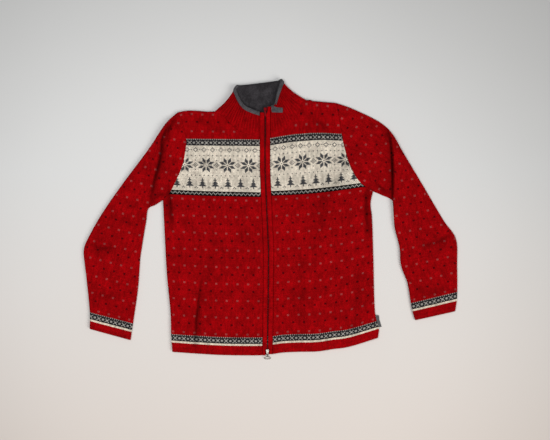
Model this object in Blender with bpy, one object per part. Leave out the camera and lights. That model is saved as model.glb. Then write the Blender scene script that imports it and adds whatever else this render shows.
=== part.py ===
"""A zip-front knitted cardigan with a stand collar, laid flat on a table with its front side up.

Tables and sizes are in millimetres; metres() turns points into Blender's units.
+Z is up, +Y runs from the hem to the collar, and -X is the wearer's right side.
Each piece that a maker sews on is one closed wall of cloth, 0.3 mm clear of its neighbours.
"""
import math

import bmesh
import bpy
import numpy as np

# Cloth, in mm
CLOTH = 2.8
FACING = 2.0
TAPE = 0.8
SEAM = 0.3
FACING_GAP = 0.5
RIM_CLEARANCE = 1.2
LAID = 8.6
THINNEST = 2 * CLOTH + 0.3
SIDE_ROUND = LAID / 2

# Neck and collar, in mm
NECK_CENTRE = (-25.0, 290.0)
NECK_PLATEAU = 90.0
NECK_REACH = 70.0
NECK_RISE = 3.4
RIB_PITCH = 7.0
RIB_HEIGHT = 0.8
RIM_FOLD = 8.0
COLLAR_GAP = 0.35
COLLAR_FRONT_STEPS = 40
COLLAR_BACK_STEPS = 12
COLLAR_CURL_STEPS = 12
BACK_RIM_HEIGHT = 4.6
BACK_RIM_BOW = -1.5
TOP_ZIP_HEIGHT = 15.5
TOP_MOUTH_HEIGHT = 18.5

# Zip and its bands, in mm
BAND = 12.0
BAND_RAISE = 0.6
BAND_ROUND = (0.9, 0.7)
BAND_GAP = 1.5
TAPE_INSET = 2.0
SLIDER_GAP = 4.9
CHAIN_DROP = 2.4
CHAIN_PROFILE = [(-1.2, -1.1), (1.2, -1.1), (1.2, 0.6), (0.6, 1.1), (-0.6, 1.1), (-1.2, 0.6)]
BOTTOM_SLIDER_Y = -337.5
TOP_SLIDER_Y = 280.5
SLIDER_SIZE = (8.0, 11.0, 4.6)
SLIDER_PROUD = 0.8
SLIDER_OUTLINE = [
    (-0.34, -0.5), (0.34, -0.5), (0.5, 0.1), (0.5, 0.4),
    (0.3, 0.5), (-0.3, 0.5), (-0.5, 0.4), (-0.5, 0.1),
]
SLIDER_LEVELS = [(0.0, 0.9), (0.12, 1.0), (0.8, 1.0), (1.0, 0.86)]
LUG_GAP = 2.2
LUG_WIDTH = 0.9
LUG_OUTLINE = [(-5.4, -1.0), (-2.6, -1.0), (-3.4, 1.8), (-4.2, 2.6), (-5.0, 2.6), (-5.5, 1.8)]
PULL_AXIS_Y = -4.8
PULL_AXIS_Z = 1.6
RING_TURNS = 28
RING_SIDES = 6
BAND_STEP = 30.0
FINE_STEP = 3.5
COLLAR_BAND_STEPS = 14

# Turned-out corner of the facing and the side label: lowest and highest x or y
CORNER_X = (2.5, 31.5)
CORNER_Y = (270.0, 285.5)
CORNER_RIM = 0.6
CORNER_RIM_END = 298.5
LABEL_Y = (-276.0, -246.0)
LABEL_WIDTH = 8.0
LABEL_DROOP = [(0.0, 0.0), (0.35, -0.5), (0.7, -1.7), (1.0, -2.8)]

# The two pulls: slider, its y, finish, tilt in degrees, plate width, length and thickness, and the
# ring's width, length and bar
PULLS = [
    ("bottom", BOTTOM_SLIDER_Y, "metal", 33.0, (3.8, 12.0, 1.5), (18.0, 9.6, 1.8)),
    ("top", TOP_SLIDER_Y, "lacquer", 6.0, (3.8, 13.0, 1.5), None),
]

# Hem and cuff: the turned band is a little thicker than the single cloth
TURNED = 23.0
TURNED_STEP = 0.6

# Sections
ROUND_ANGLES = (0.0, 30.0, 60.0, 90.0)
SEAM_ROWS = 9
LOWER_ARMHOLE_ROWS = 5
NECK_ROWS = 7
FRONT_COLUMNS = 8
BACK_SIDE_COLUMNS = 2
BACK_NECK_COLUMNS = (-142.0, -136.0, -80.0, -25.0, 30.0, 85.0, 91.0)
SLEEVE_SECTIONS = 12
CUFF_SHARES = (0.955, 0.96, 1.0)
ARMHOLE_FADE = 0.35
CHAIN_SECTIONS = 24
EDGE_PASSES = 14

# The outline as (x, y) points, from the hem to the shoulder. The side ends at the underarm.
SIDE = {
    "right": [(-252, -339), (-255, -297), (-257, -235), (-266, -139), (-272, -29), (-276, 50)],
    "left": [(276, -303), (278, -276), (268, -235), (264, -98), (261, -1), (257, 40), (263, 72)],
}
ARMHOLE = {
    "right": [(-276, 50), (-256, 71), (-241, 102), (-225, 140), (-216, 189), (-217, 215), (-226, 250),
              (-238, 275)],
    "left": [(263, 72), (233, 92), (216, 114), (200, 147), (185, 203), (179, 240), (168, 299)],
}
NECKLINE = {
    "right": [(-27.5, 212), (-73, 223), (-96, 239), (-118, 262), (-142, 277)],
    "left": [(0.5, 211), (22, 221), (49, 239), (67, 266), (80, 296), (91, 306)],
}
SHOULDER = {
    "right": [(-238, 275), (-216, 279), (-190, 279), (-160, 276.5), (-142, 277), (-14, 273)],
    "left": [(-14, 292), (91, 306), (108, 304), (130, 302), (168, 299)],
}
BACK_NECK = [(-142, 277), (-25, 287), (91, 306)]
MIDDLE_X = -14.0
HEM = [(-252, -339), (-194, -343), (-128, -347), (-60, -348), (-12, -347), (30, -341), (72, -339),
       (118, -338), (160, -332), (202, -326), (276, -303)]
ZIP = [(-14, 290), (-14, 127), (-10, 35), (-5, -78), (-6, -207), (-8, -347)]

# The collar's mouth from the zip to the fold at the side of the neck
MOUTH = {
    "right": [(-27.5, 273), (-46, 279), (-66, 289), (-80, 308), (-88, 327)],
    "left": [(1, 288), (11, 294), (17, 318), (23, 338), (27, 349)],
}

# How far the collar's top edge moves in x and y as it turns round each side fold
TOP_TURN = {"right": (8.0, 15.0), "left": (-6.0, 5.0)}

# Sleeve sections from the armhole to the cuff: outer edge x, y and inner edge x, y
SLEEVE = {
    "right": [
        (-238, 275, -276, 50),
        (-269, 246, -296, 37),
        (-314, 179, -314, 27),
        (-377, 95, -319, -5),
        (-430, 19, -325, -40),
        (-465, -42, -330, -72),
        (-479, -76, -334, -98),
        (-477, -112, -337, -140),
        (-472, -153, -341, -186),
        (-464, -235, -353, -268),
        (-464, -280, -359, -309),
    ],
    "left": [
        (168, 299, 263, 72),
        (213, 283, 284, 63),
        (280, 250, 313, 48),
        (313, 219, 316, 20),
        (341, 171, 319, -22),
        (395, 81, 331, -71),
        (444, -2, 335, -118),
        (476, -50, 351, -161),
        (479, -120, 357, -195),
        (479, -197, 363, -230),
        (474, -235, 371, -258),
    ],
}

# The largest folds: a line, the side of it that is lifted, and in mm the lift, the dip beside it, how
# wide the step is and how far the lifted cloth takes to come down
FOLDS = [
    ([(292, 236), (300, 204), (315, 153), (319, 76), (317, 38)], 1, 6.5, 2.4, 9, 42),
    ([(-246, 262), (-270, 200), (-286, 135), (-299, 99), (-312, 34)], -1, 3.4, 2.4, 12, 30),
    ([(-262, 90), (-255, 40), (-250, -20)], 1, 1.6, 1.6, 12, 22),
    ([(246, 84), (243, 40), (248, -40)], -1, 1.5, 1.5, 12, 24),
    ([(-196, -336), (-190, -250), (-180, -160)], 1, 1.4, 1.4, 11, 22),
    ([(-452, -60), (-410, -84), (-352, -78)], 1, 1.8, 1.4, 13, 24),
    ([(456, -30), (420, -62), (352, -78)], -1, 2.2, 1.8, 12, 22),
    ([(200, 150), (150, 60), (120, -40)], 1, 1.0, 0.9, 16, 34),
]


def metres(points):
    """Points in mm as an array in metres."""
    return np.asarray(points, float) * 0.001


def smooth_line(points, steps=10):
    """A smooth line through the points, with some steps between each two of them."""
    p = np.asarray(points, float)
    padded = np.vstack([2 * p[0] - p[1], p, 2 * p[-1] - p[-2]])
    line = [p[0]]
    for i in range(1, len(p)):
        a, b, c, d = padded[i - 1 : i + 3]
        for k in range(1, steps + 1):
            t = k / steps
            line.append(0.5 * (2 * b + (c - a) * t + (2 * a - 5 * b + 4 * c - d) * t**2
                               + (3 * b - a - 3 * c + d) * t**3))
    return np.array(line)


def along(line, fraction):
    """The point at a fraction of a line's length."""
    line = np.asarray(line, float)
    lengths = np.concatenate([[0.0], np.cumsum(np.linalg.norm(np.diff(line, axis=0), axis=1))])
    at = fraction * lengths[-1]
    return np.array([np.interp(at, lengths, line[:, i]) for i in range(line.shape[1])])


def x_at(line, y):
    """x of a line that climbs steadily in y."""
    line = np.asarray(line, float)
    order = np.argsort(line[:, 1])
    return float(np.interp(y, line[order, 1], line[order, 0]))


def y_at(line, x):
    """y of a line that runs steadily in x."""
    line = np.asarray(line, float)
    order = np.argsort(line[:, 0])
    return float(np.interp(x, line[order, 0], line[order, 1]))


SIDE_LINE = {side: smooth_line(points) for side, points in SIDE.items()}
ARMHOLE_LINE = {side: smooth_line(points) for side, points in ARMHOLE.items()}
NECK_LINE = {side: smooth_line(points) for side, points in NECKLINE.items()}
MOUTH_LINE = {side: smooth_line(points) for side, points in MOUTH.items()}
SHOULDER_LINE = {side: smooth_line(points) for side, points in SHOULDER.items()}
HEM_LINE = smooth_line(HEM)
OUTWARD = {"right": -1.0, "left": 1.0}


def fold_height(fold, x, y):
    """What one fold adds to the height of the cloth. It dies away towards both ends of its line."""
    points, side, lift, dip, step, fall = fold
    line = np.asarray(points, float)
    lengths = np.concatenate([[0.0], np.cumsum(np.linalg.norm(np.diff(line, axis=0), axis=1))])
    best = (math.inf, 1.0, 0.0)
    for a, b, start in zip(line, line[1:], lengths):
        run = b - a
        t = float(np.clip(np.dot((x, y) - a, run) / np.dot(run, run), 0.0, 1.0))
        away = np.array((x, y)) - (a + run * t)
        turn = math.copysign(1.0, run[0] * away[1] - run[1] * away[0])
        best = min(best, (float(np.hypot(*away)), turn, (start + t * float(np.hypot(*run))) / lengths[-1]))
    far, turn, share = best
    taper = math.sin(math.pi * (0.12 + 0.76 * share))
    distance = far * turn * side
    rise = float(np.clip(distance / step, 0.0, 1.0))
    lifted = lift * rise * rise * (3 - 2 * rise) * math.exp(-max(distance, 0.0) / fall)
    dipped = dip * math.exp(-((distance / step + 0.4) ** 2))
    return taper * (lifted - dipped)


def plain_height(x, y):
    """Height of the top face with no folds: flat, and higher round the neck."""
    away = math.hypot(x - NECK_CENTRE[0], y - NECK_CENTRE[1])
    return LAID + NECK_RISE * math.exp(-((max(0.0, away - NECK_PLATEAU) / NECK_REACH) ** 2))


def top_height(x, y):
    """Height of the upper layer's outer face."""
    height = plain_height(x, y) + sum(fold_height(fold, x, y) for fold in FOLDS)
    return max(height, THINNEST)


def under_height(x, y):
    """Height of the upper layer's inner face. Cloth that is folded on itself is one thick wall."""
    return min(top_height(x, y), plain_height(x, y)) - CLOTH


def new_material(name, colour, roughness, metallic=0.0):
    """A plain Principled material with a linear colour."""
    material = bpy.data.materials.new(name)
    material.use_nodes = True
    shader = material.node_tree.nodes["Principled BSDF"]
    shader.inputs["Base Color"].default_value = (*colour, 1.0)
    shader.inputs["Roughness"].default_value = roughness
    shader.inputs["Metallic"].default_value = metallic
    return material


def add_object(name, points, faces, material, at=None, smooth=True):
    """A mesh object from points in mm, with its faces turned outward."""
    mesh = bpy.data.meshes.new(name)
    mesh.from_pydata([tuple(p) for p in metres(points)], [], faces)
    bm = bmesh.new()
    bm.from_mesh(mesh)
    bmesh.ops.recalc_face_normals(bm, faces=bm.faces)
    bm.to_mesh(mesh)
    bm.free()
    mesh.materials.append(material)
    if smooth:
        mesh.shade_smooth()
        mesh.set_sharp_from_angle(angle=math.radians(50))
    thing = bpy.data.objects.new(name, mesh)
    if at is not None:
        thing.location = metres(at)
    bpy.context.scene.collection.objects.link(thing)
    return thing


def grid_faces(rows, columns, start, closed=False):
    """Quads of a grid of points, stored row by row from a starting index."""
    faces = []
    for i in range(rows - 1):
        for j in range(columns if closed else columns - 1):
            k = (j + 1) % columns
            faces.append((start + i * columns + j, start + i * columns + k,
                          start + (i + 1) * columns + k, start + (i + 1) * columns + j))
    return faces


def add_slab(name, outer, inner, material):
    """A wall between an outer and an inner grid of points, closed at its four edges."""
    rows, columns = len(outer), len(outer[0])
    count = rows * columns
    points = [p for row in outer for p in row] + [p for row in inner for p in row]
    faces = grid_faces(rows, columns, 0)
    faces += [tuple(reversed(f)) for f in grid_faces(rows, columns, count)]
    rim = list(range(columns))
    rim += [i * columns + columns - 1 for i in range(1, rows)]
    rim += [(rows - 1) * columns + j for j in range(columns - 2, -1, -1)]
    rim += [i * columns for i in range(rows - 2, 0, -1)]
    for a, b in zip(rim, rim[1:] + rim[:1]):
        faces.append((b, a, count + a, count + b))
    return add_object(name, points, faces, material)


def add_tube(name, outer, inner, material):
    """A tube of cloth between outer and inner rings of points, open at both ends."""
    rows, columns = len(outer), len(outer[0])
    count = rows * columns
    points = [p for row in outer for p in row] + [p for row in inner for p in row]
    faces = grid_faces(rows, columns, 0, closed=True)
    faces += [tuple(reversed(f)) for f in grid_faces(rows, columns, count, closed=True)]
    for row in (0, rows - 1):
        for j in range(columns):
            a, b = row * columns + j, row * columns + (j + 1) % columns
            quad = (a, b, count + b, count + a)
            faces.append(quad if row else tuple(reversed(quad)))
    return add_object(name, points, faces, material)


def add_loft(name, sections, material, at=None):
    """A solid through closed sections of points, capped at both ends."""
    rows, columns = len(sections), len(sections[0])
    points = [p for section in sections for p in section]
    faces = grid_faces(rows, columns, 0, closed=True)
    faces.append(tuple(range(columns - 1, -1, -1)))
    faces.append(tuple((rows - 1) * columns + j for j in range(columns)))
    return add_object(name, points, faces, material, at)


def top_line(side, x):
    """y of the shoulder line of one side at x."""
    return y_at(SHOULDER_LINE[side], x)


def back_line(x):
    """y of the back's top line at x: shoulder, neck, shoulder."""
    if BACK_NECK[0][0] < x < BACK_NECK[-1][0]:
        return y_at(BACK_NECK, x)
    return top_line("right" if x < MIDDLE_X else "left", x)


def share_at(side, x, y):
    """How far up the body a point is, from 0 at the hem to 1 at the shoulder line."""
    hem = y_at(HEM_LINE, x)
    return (y - hem) / (top_line(side, x) - hem)


def body_rows(side):
    """Sections of the body from the hem up: the share of the height, how far the side fold turns
    down, and the angle on the shoulder fold for the last ones."""
    length = ARMHOLE[side][-1][1] - SIDE[side][0][1]
    under = share_at(side, *SIDE[side][-1])
    shares = [0.0, TURNED / length, (TURNED + 1.5) / length]
    shares += list(np.linspace(0.0, under, SEAM_ROWS)[1:])
    rows = [{"share": s, "turn": 1.0, "angle": None} for s in shares]
    for angle in ROUND_ANGLES[1:]:
        inset = SIDE_ROUND * (1 - math.cos(math.radians(angle)))
        turn = 1 - math.sin(math.radians(angle))
        rows.append({"share": under + inset / length, "turn": turn, "angle": None})
    neck = [along(NECK_LINE[side], k / NECK_ROWS) for k in range(NECK_ROWS)]
    neck = [p for p in neck if p[1] < top_line(side, p[0]) - 1.5 * SIDE_ROUND]
    upper = [share_at(side, *p) for p in neck]
    lower = np.linspace(rows[-1]["share"], upper[0], LOWER_ARMHOLE_ROWS + 1)[1:-1]
    rows += [{"share": s, "turn": 0.0, "angle": None} for s in [*lower, *upper]]
    rows += [{"share": 1.0, "turn": 0.0, "angle": angle} for angle in reversed(ROUND_ANGLES)]
    return rows


def fold_inset(angle, inner):
    """How far a point of a rounded fold lies inside the fold's edge."""
    radius = SIDE_ROUND - CLOTH if inner else SIDE_ROUND
    return SIDE_ROUND - radius * math.cos(math.radians(angle))


def row_y(share, angle, x, top, inner):
    """y of a section of the body at x, under a top line."""
    if angle is not None:
        return top - fold_inset(angle, inner)
    hem = y_at(HEM_LINE, x)
    return hem + share * (top - hem)


def row_end(row, side, limit, inner):
    """x where a section of the body meets a limiting line, given as a function of y."""
    x = limit(SIDE[side][-1][1])
    for _ in range(EDGE_PASSES):
        x = limit(row_y(row["share"], row["angle"], x, top_line(side, x), inner))
    return x


def edge_limit(side, y):
    """x of the body's edge at y: the side seam, and above it the armhole, half a seam inside."""
    if y <= SIDE[side][-1][1]:
        return x_at(SIDE_LINE[side], y)
    return x_at(ARMHOLE_LINE[side], y)


def zip_limit(side, y):
    """x of a front's inner edge at y: the band's outer side, and above it the neckline."""
    if y > NECKLINE[side][0][1]:
        return x_at(NECK_LINE[side], y)
    return x_at(ZIP, y) + OUTWARD[side] * (BAND_GAP + BAND)


def turned_down(face, x, y, sine):
    """Height on a fold of the upper layer. A sine of 1 is its flat top and 0 is the fold's edge."""
    middle = plain_height(x, y) / 2
    return middle + (1 - sine) * SEAM / 2 + (face - middle) * sine


def turned_up(flat, x, y, sine):
    """Height on a fold of the lower layer. A sine of 1 is its flat face and 0 is the fold's edge."""
    middle = plain_height(x, y) / 2
    return middle - (1 - sine) * SEAM / 2 - (middle - flat) * sine


def sine_of(angle):
    """Sine of a fold's angle, which is 1 where there is no fold."""
    return 1.0 if angle is None else math.sin(math.radians(angle))


def side_columns(row, layer):
    """Insets and sines of the rounded side fold, for one section and layer."""
    columns = []
    for angle in ROUND_ANGLES[:-1]:
        inset = fold_inset(angle, False)
        if layer:
            inset = row["turn"] * fold_inset(angle, True) + (1 - row["turn"]) * inset
        columns.append((inset, 1 - row["turn"] * (1 - sine_of(angle))))
    return columns


def front_grids(side):
    """Outer and inner points of a front, from the hem up and from the side to the zip."""
    out = OUTWARD[side]
    grids = ([], [])
    for row in body_rows(side):
        for layer, grid in enumerate(grids):
            edge = row_end(row, side, lambda y: edge_limit(side, y), layer == 1)
            zip_x = row_end(row, side, lambda y: zip_limit(side, y), layer == 1)
            start = edge - out * SIDE_ROUND
            places = [(edge - out * inset, sine) for inset, sine in side_columns(row, layer)]
            places += [(start + (zip_x - start) * k / FRONT_COLUMNS, 1.0) for k in range(FRONT_COLUMNS + 1)]
            points = []
            for x, sine in places:
                y = row_y(row["share"], row["angle"], x, top_line(side, x), layer == 1)
                face = under_height(x, y) if layer else top_height(x, y)
                if not layer and row["share"] <= TURNED / (ARMHOLE[side][-1][1] - SIDE[side][0][1]) + 1e-6:
                    face += TURNED_STEP
                points.append((x, y, turned_down(face, x, y, min(sine, sine_of(row["angle"])))))
            grid.append(points)
    return grids


def back_grids():
    """Outer and inner points of the back, whose outer face lies on the table."""
    rows = list(zip(body_rows("right"), body_rows("left")))
    grids = ([], [])
    for right, left in rows:
        for layer, grid in enumerate(grids):
            edges = [row_end(row, side, lambda y, s=side: edge_limit(s, y), layer == 1)
                     for side, row in (("right", right), ("left", left))]
            starts = (edges[0] + SIDE_ROUND, edges[1] - SIDE_ROUND)
            places = [(edges[0] + inset, sine) for inset, sine in side_columns(right, layer)]
            places += [(x, 1.0) for x in back_columns(*starts)]
            places += [(edges[1] - inset, sine) for inset, sine in reversed(side_columns(left, layer))]
            points = []
            for x, sine in places:
                share = np.interp(x, edges, (right["share"], left["share"]))
                at_neck = BACK_NECK[0][0] < x < BACK_NECK[-1][0]
                y = row_y(share, right["angle"], x, back_line(x), layer == 1 and not at_neck)
                fold = 1.0 if at_neck else sine_of(right["angle"])
                points.append((x, y, turned_up(CLOTH if layer else 0.0, x, y, min(sine, fold))))
            grid.append(points)
    return grids


def back_columns(start, end):
    """x of the back's columns between its two side folds."""
    first, last = BACK_NECK_COLUMNS[0], BACK_NECK_COLUMNS[-1]
    right = [start + (first - start) * k / BACK_SIDE_COLUMNS for k in range(BACK_SIDE_COLUMNS)]
    left = [last + (end - last) * (k + 1) / BACK_SIDE_COLUMNS for k in range(BACK_SIDE_COLUMNS)]
    return [*right, *BACK_NECK_COLUMNS, *left]


def sleeve_edges(side):
    """Smooth outer and inner edges of a sleeve, from the armhole to the cuff."""
    table = np.asarray(SLEEVE[side], float)
    return smooth_line(table[:, :2]), smooth_line(table[:, 2:])


def sleeve_rings(side, front):
    """Outer and inner rings of a sleeve. The first one follows the armhole of the front and back."""
    first = SEAM_ROWS + 1
    upper = [np.array(row[0][:2]) for row in front[first:]][::-1]
    angles = [*ROUND_ANGLES, *[90.0] * (len(upper) - 2 * len(ROUND_ANGLES)), *reversed(ROUND_ANGLES)]
    outer_edge, inner_edge = sleeve_edges(side)
    reach = [np.linalg.norm(p - upper[0]) for p in upper]
    spread = [np.clip((d - SIDE_ROUND) / (reach[-1] - 2 * SIDE_ROUND), 0.0, 1.0) for d in reach]
    shift = np.array((OUTWARD[side] * SEAM, 0.0))
    bows = None
    rings = ([], [])
    for share in [*np.linspace(0.0, CUFF_SHARES[0], SLEEVE_SECTIONS), *CUFF_SHARES[1:]]:
        start, end = along_table(outer_edge, share), along_table(inner_edge, share)
        width = np.linalg.norm(end - start)
        across = (end - start) / width
        places = []
        for k, angle in enumerate(angles):
            inset = fold_inset(angle, False)
            if angle == 90.0:
                inset = SIDE_ROUND + spread[k] * (width - 2 * SIDE_ROUND)
            elif k > len(angles) / 2:
                inset = width - inset
            places.append(start + across * inset)
        if bows is None:
            bows = [u + shift - p for u, p in zip(upper, places)]
        fade = max(0.0, 1 - share / ARMHOLE_FADE) ** 2
        places = [p + bow * fade for p, bow in zip(places, bows)]
        step = TURNED_STEP if share >= CUFF_SHARES[1] else 0.0
        ring = ([], [])
        for k, (p, angle) in enumerate(zip(places, angles)):
            inward = across * CLOTH * math.cos(math.radians(angle)) * (1 if k < len(angles) / 2 else -1)
            sine = sine_of(angle)
            q = p + inward
            ring[0].append(((*p, turned_down(top_height(*p) + step * sine, *p, sine)),
                            (*p, turned_up(0.0, *p, sine))))
            ring[1].append(((*q, turned_down(under_height(*q), *q, sine)), (*q, turned_up(CLOTH, *q, sine))))
        for layer in (0, 1):
            upper_half = [pair[0] for pair in ring[layer]]
            rings[layer].append(upper_half + [pair[1] for pair in reversed(ring[layer])])
    return rings


def along_table(line, share):
    """The point of a smooth line at a share of its table's sections."""
    at = share * (len(line) - 1)
    return np.array([np.interp(at, range(len(line)), line[:, i]) for i in range(2)])


def collar_path(fronts):
    """The collar from zip to zip: base point, top point and outward direction at each place."""
    path = []
    for side in ("right", "left"):
        run = collar_front_run(side, fronts[side])
        curl = collar_curl(side, run[-1])
        path.append(run + curl)
    right, left = path
    base_a, base_b = right[-1][0], left[-1][0]
    top_a, top_b = right[-1][1], left[-1][1]
    back = []
    for k in range(1, COLLAR_BACK_STEPS):
        share = k / COLLAR_BACK_STEPS
        x = base_a[0] + (base_b[0] - base_a[0]) * share
        base = np.array((x, y_at(BACK_NECK, x) + COLLAR_GAP, 0.0))
        top = top_a + (top_b - top_a) * share
        top[1] += BACK_RIM_BOW * math.sin(math.pi * share)
        back.append((base, top, np.array((0.0, 0.0, -1.0))))
    return right + back + left[::-1]


def collar_front_run(side, front):
    """The collar's front part, from the band to the side fold, on top of the neckline."""
    neckline = [np.array(row[-1]) for row in front if row[-1][1] >= NECKLINE[side][0][1] - 0.5]
    edge = neckline[: 1 - len(ROUND_ANGLES)]
    fold_top = BACK_RIM_HEIGHT + neck_thickness(side)
    run = []
    for share in np.linspace(0.0, 1.0, COLLAR_FRONT_STEPS + 1):
        base = along(edge, share) + away_from_front(edge, share, side) * COLLAR_GAP
        swell = math.sin(math.pi * share) * (TOP_MOUTH_HEIGHT - TOP_ZIP_HEIGHT)
        height = (1 - share) * TOP_ZIP_HEIGHT + share * fold_top + swell
        top = np.array((*along(MOUTH_LINE[side], share), height))
        run.append((base, top, np.array((0.0, 0.0, 1.0))))
    return run


def neck_thickness(side):
    """Thickness of the flattened collar at its side fold."""
    return plain_height(*NECKLINE[side][-1])


def away_from_front(edge, share, side):
    """Unit direction in plan away from the front's cloth, at a share of the neckline."""
    a = along(edge, max(0.0, share - 0.02))[:2]
    b = along(edge, min(1.0, share + 0.02))[:2]
    run = (b - a) / np.linalg.norm(b - a)
    return np.array((run[1], -run[0], 0.0)) * -OUTWARD[side]


def collar_curl(side, last):
    """The side fold of the collar, from its top round to the table."""
    out = OUTWARD[side]
    base_end, top_end, _up = last
    radius = neck_thickness(side) / 2
    neck_x, neck_y = NECKLINE[side][-1]
    base_centre = np.array((neck_x - out * COLLAR_GAP, neck_y + COLLAR_GAP, radius))
    fold_run = top_end[:2] - base_end[:2]
    fold_run = fold_run / np.linalg.norm(fold_run)
    top_out = np.array((fold_run[1], -fold_run[0], 0.0))
    top_out = top_out * math.copysign(1.0, top_out[0] * out)
    turn_x, turn_y = TOP_TURN[side]
    base_out = np.array((0.0, 1.0, 0.0))
    curl = []
    for angle in np.linspace(math.pi / 2, -math.pi / 2, COLLAR_CURL_STEPS + 1):
        sine, cosine = math.sin(angle), math.cos(angle)
        turned = (1 - sine) / 2
        top_centre = np.array((top_end[0] + turn_x * turned, top_end[1] + turn_y * turned,
                               BACK_RIM_HEIGHT + radius))
        base_normal = base_out * cosine + np.array((0.0, 0.0, sine))
        top_normal = top_out * cosine + np.array((0.0, 0.0, sine))
        normal = base_normal + top_normal
        curl.append((base_centre + base_normal * radius, top_centre + top_normal * radius,
                     normal / np.linalg.norm(normal)))
    return curl


def even_path(path, pitch_shares):
    """The collar's path at ribs of one pitch, with the rib height's share at each place."""
    middles = np.array([(base + top) / 2 for base, top, _normal in path])
    lengths = np.concatenate([[0.0], np.cumsum(np.linalg.norm(np.diff(middles, axis=0), axis=1))])
    ribs = round(lengths[-1] / RIB_PITCH)
    pitch = lengths[-1] / ribs
    flat = np.array([np.concatenate(place) for place in path])
    places = []
    for rib in range(ribs):
        for at, raised in pitch_shares:
            places.append(((rib + at) * pitch, raised))
    places.append((lengths[-1], pitch_shares[0][1]))
    even = []
    for at, raised in places:
        values = [np.interp(at, lengths, flat[:, i]) for i in range(9)]
        normal = np.array(values[6:])
        even.append((np.array(values[:3]), np.array(values[3:6]), normal / np.linalg.norm(normal), raised))
    return even


def collar_point(place, up, depth):
    """A point of the collar, some mm up from its base and some mm inward."""
    base, top, normal = place[:3]
    run = top - base
    return base + run / np.linalg.norm(run) * up - normal * depth


def on_left_front(place):
    """Whether a place of the collar faces up on the wearer's left of the zip."""
    return place[2][2] > 0.99 and place[0][0] > MIDDLE_X


def rib_lift(normal, raised):
    """Height of a rib, which fades out where the collar lies on the table."""
    return raised * RIB_HEIGHT * float(np.clip(normal[2] + 1.0, 0.0, 1.0))


def collar_grids(path):
    """Outer points with raised ribs and plain inner points of the collar."""
    grids = ([], [])
    for share in (0.0, 1.0):
        outer, inner = [], []
        for place in even_path(path, ((0.0, 0.0), (0.2, 1.0), (0.5, 1.0), (0.7, 0.0))):
            length = np.linalg.norm(place[1] - place[0])
            outer.append(tuple(collar_point(place, share * length, -rib_lift(place[2], place[3]))))
            inner.append(tuple(collar_point(place, share * length, CLOTH)))
        grids[0].append(outer)
        grids[1].append(inner)
    return grids


def facing_sections(path):
    """Sections of the grey facing: up the inside, over the top edge and down the outside."""
    near, far = CLOTH + FACING_GAP, CLOTH + FACING_GAP + FACING
    over = RIB_HEIGHT + RIM_CLEARANCE
    sections = []
    for place in even_path(path, ((0.0, 0.0), (0.25, 0.0), (0.5, 0.0), (0.75, 0.0))):
        length = float(np.linalg.norm(place[1] - place[0]))
        at_corner = on_left_front(place) and place[1][1] < CORNER_RIM_END
        fold = CORNER_RIM if at_corner else RIM_FOLD
        profile = [
            (0.0, near),
            (length + RIM_CLEARANCE, near),
            (length + RIM_CLEARANCE, -over),
            (length - fold, -over),
            (length - fold, -over - FACING),
            (length + RIM_CLEARANCE + 0.4 * FACING, -over - FACING),
            (length + RIM_CLEARANCE + FACING, -over - 0.3 * FACING),
            (length + RIM_CLEARANCE + FACING, near + 0.3 * FACING),
            (length + RIM_CLEARANCE + 0.4 * FACING, far),
            (0.0, far),
        ]
        sections.append([tuple(collar_point(place, up, depth)) for up, depth in profile])
    return sections


def corner_grids(path):
    """The turned-out corner of the facing, which lies on the left front of the collar by the zip."""
    run = [place for place in path if on_left_front(place)]
    heights = np.linspace(0, 1, 15)
    surface = np.array([base + (top - base) * h for base, top, _normal in run for h in heights])
    grids = ([], [])
    for y in np.linspace(*CORNER_Y, 4):
        outer, inner = [], []
        for x in np.linspace(*CORNER_X, 6):
            near = np.argmin(np.hypot(surface[:, 0] - x, surface[:, 1] - y))
            under = surface[near, 2] + RIB_HEIGHT + 2 * SEAM
            outer.append((x, y, under + FACING))
            inner.append((x, y, under))
        grids[0].append(outer)
        grids[1].append(inner)
    return grids


def band_line(side, front, path):
    """Points of a band's outer edge: up the front's inner edge, then up the collar's zip edge."""
    start = [np.array(row[-1]) for row in front if row[-1][1] < NECKLINE[side][0][1] + 0.5]
    line = []
    for a, b in zip(start, start[1:]):
        near_slider = min(a[1], b[1]) < BOTTOM_SLIDER_Y + 9
        steps = max(1, round(abs(b[1] - a[1]) / (FINE_STEP if near_slider else BAND_STEP)))
        line += [a + (b - a) * k / steps for k in range(steps)]
    line.append(start[-1])
    base, top = (path[0] if side == "right" else path[-1])[:2]
    line += [base + (top - base) * k / COLLAR_BAND_STEPS for k in range(1, COLLAR_BAND_STEPS + 1)]
    return np.array(line)


def band_gap(side, y):
    """Half of the gap between the bands at y: it opens round the two sliders."""
    low = np.clip((BOTTOM_SLIDER_Y + 9 - y) / 4, 0, 1)
    high = np.clip((y - TOP_SLIDER_Y + 9) / 4, 0, 1) if side == "left" else 0.0
    return BAND_GAP + (SLIDER_GAP - BAND_GAP) * max(low, high)


def band_sections(side, line):
    """Sections of a front band, a flat knitted strip with rounded edges."""
    out = OUTWARD[side]
    across, down = BAND_ROUND
    sections = []
    for x, y, z in line:
        far = x - out * SEAM
        near = x - out * (BAND + BAND_GAP - band_gap(side, y))
        low, high = z - CLOTH, z + BAND_RAISE
        sections.append([(far, y, low), (far, y, high - down), (far - out * across, y, high),
                         (near + out * across, y, high), (near, y, high - down), (near, y, low)])
    return sections


def tape_sections(side, line):
    """Sections of a zip tape, which lies under its band."""
    out = OUTWARD[side]
    sections = []
    for x, y, z in line:
        near = x - out * (BAND + BAND_GAP - band_gap(side, y) - SEAM)
        far = x - out * TAPE_INSET
        high = z - CLOTH - SEAM
        sections.append([(far, y, high - TAPE), (far, y, high), (near, y, high), (near, y, high - TAPE)])
    return sections


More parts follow.
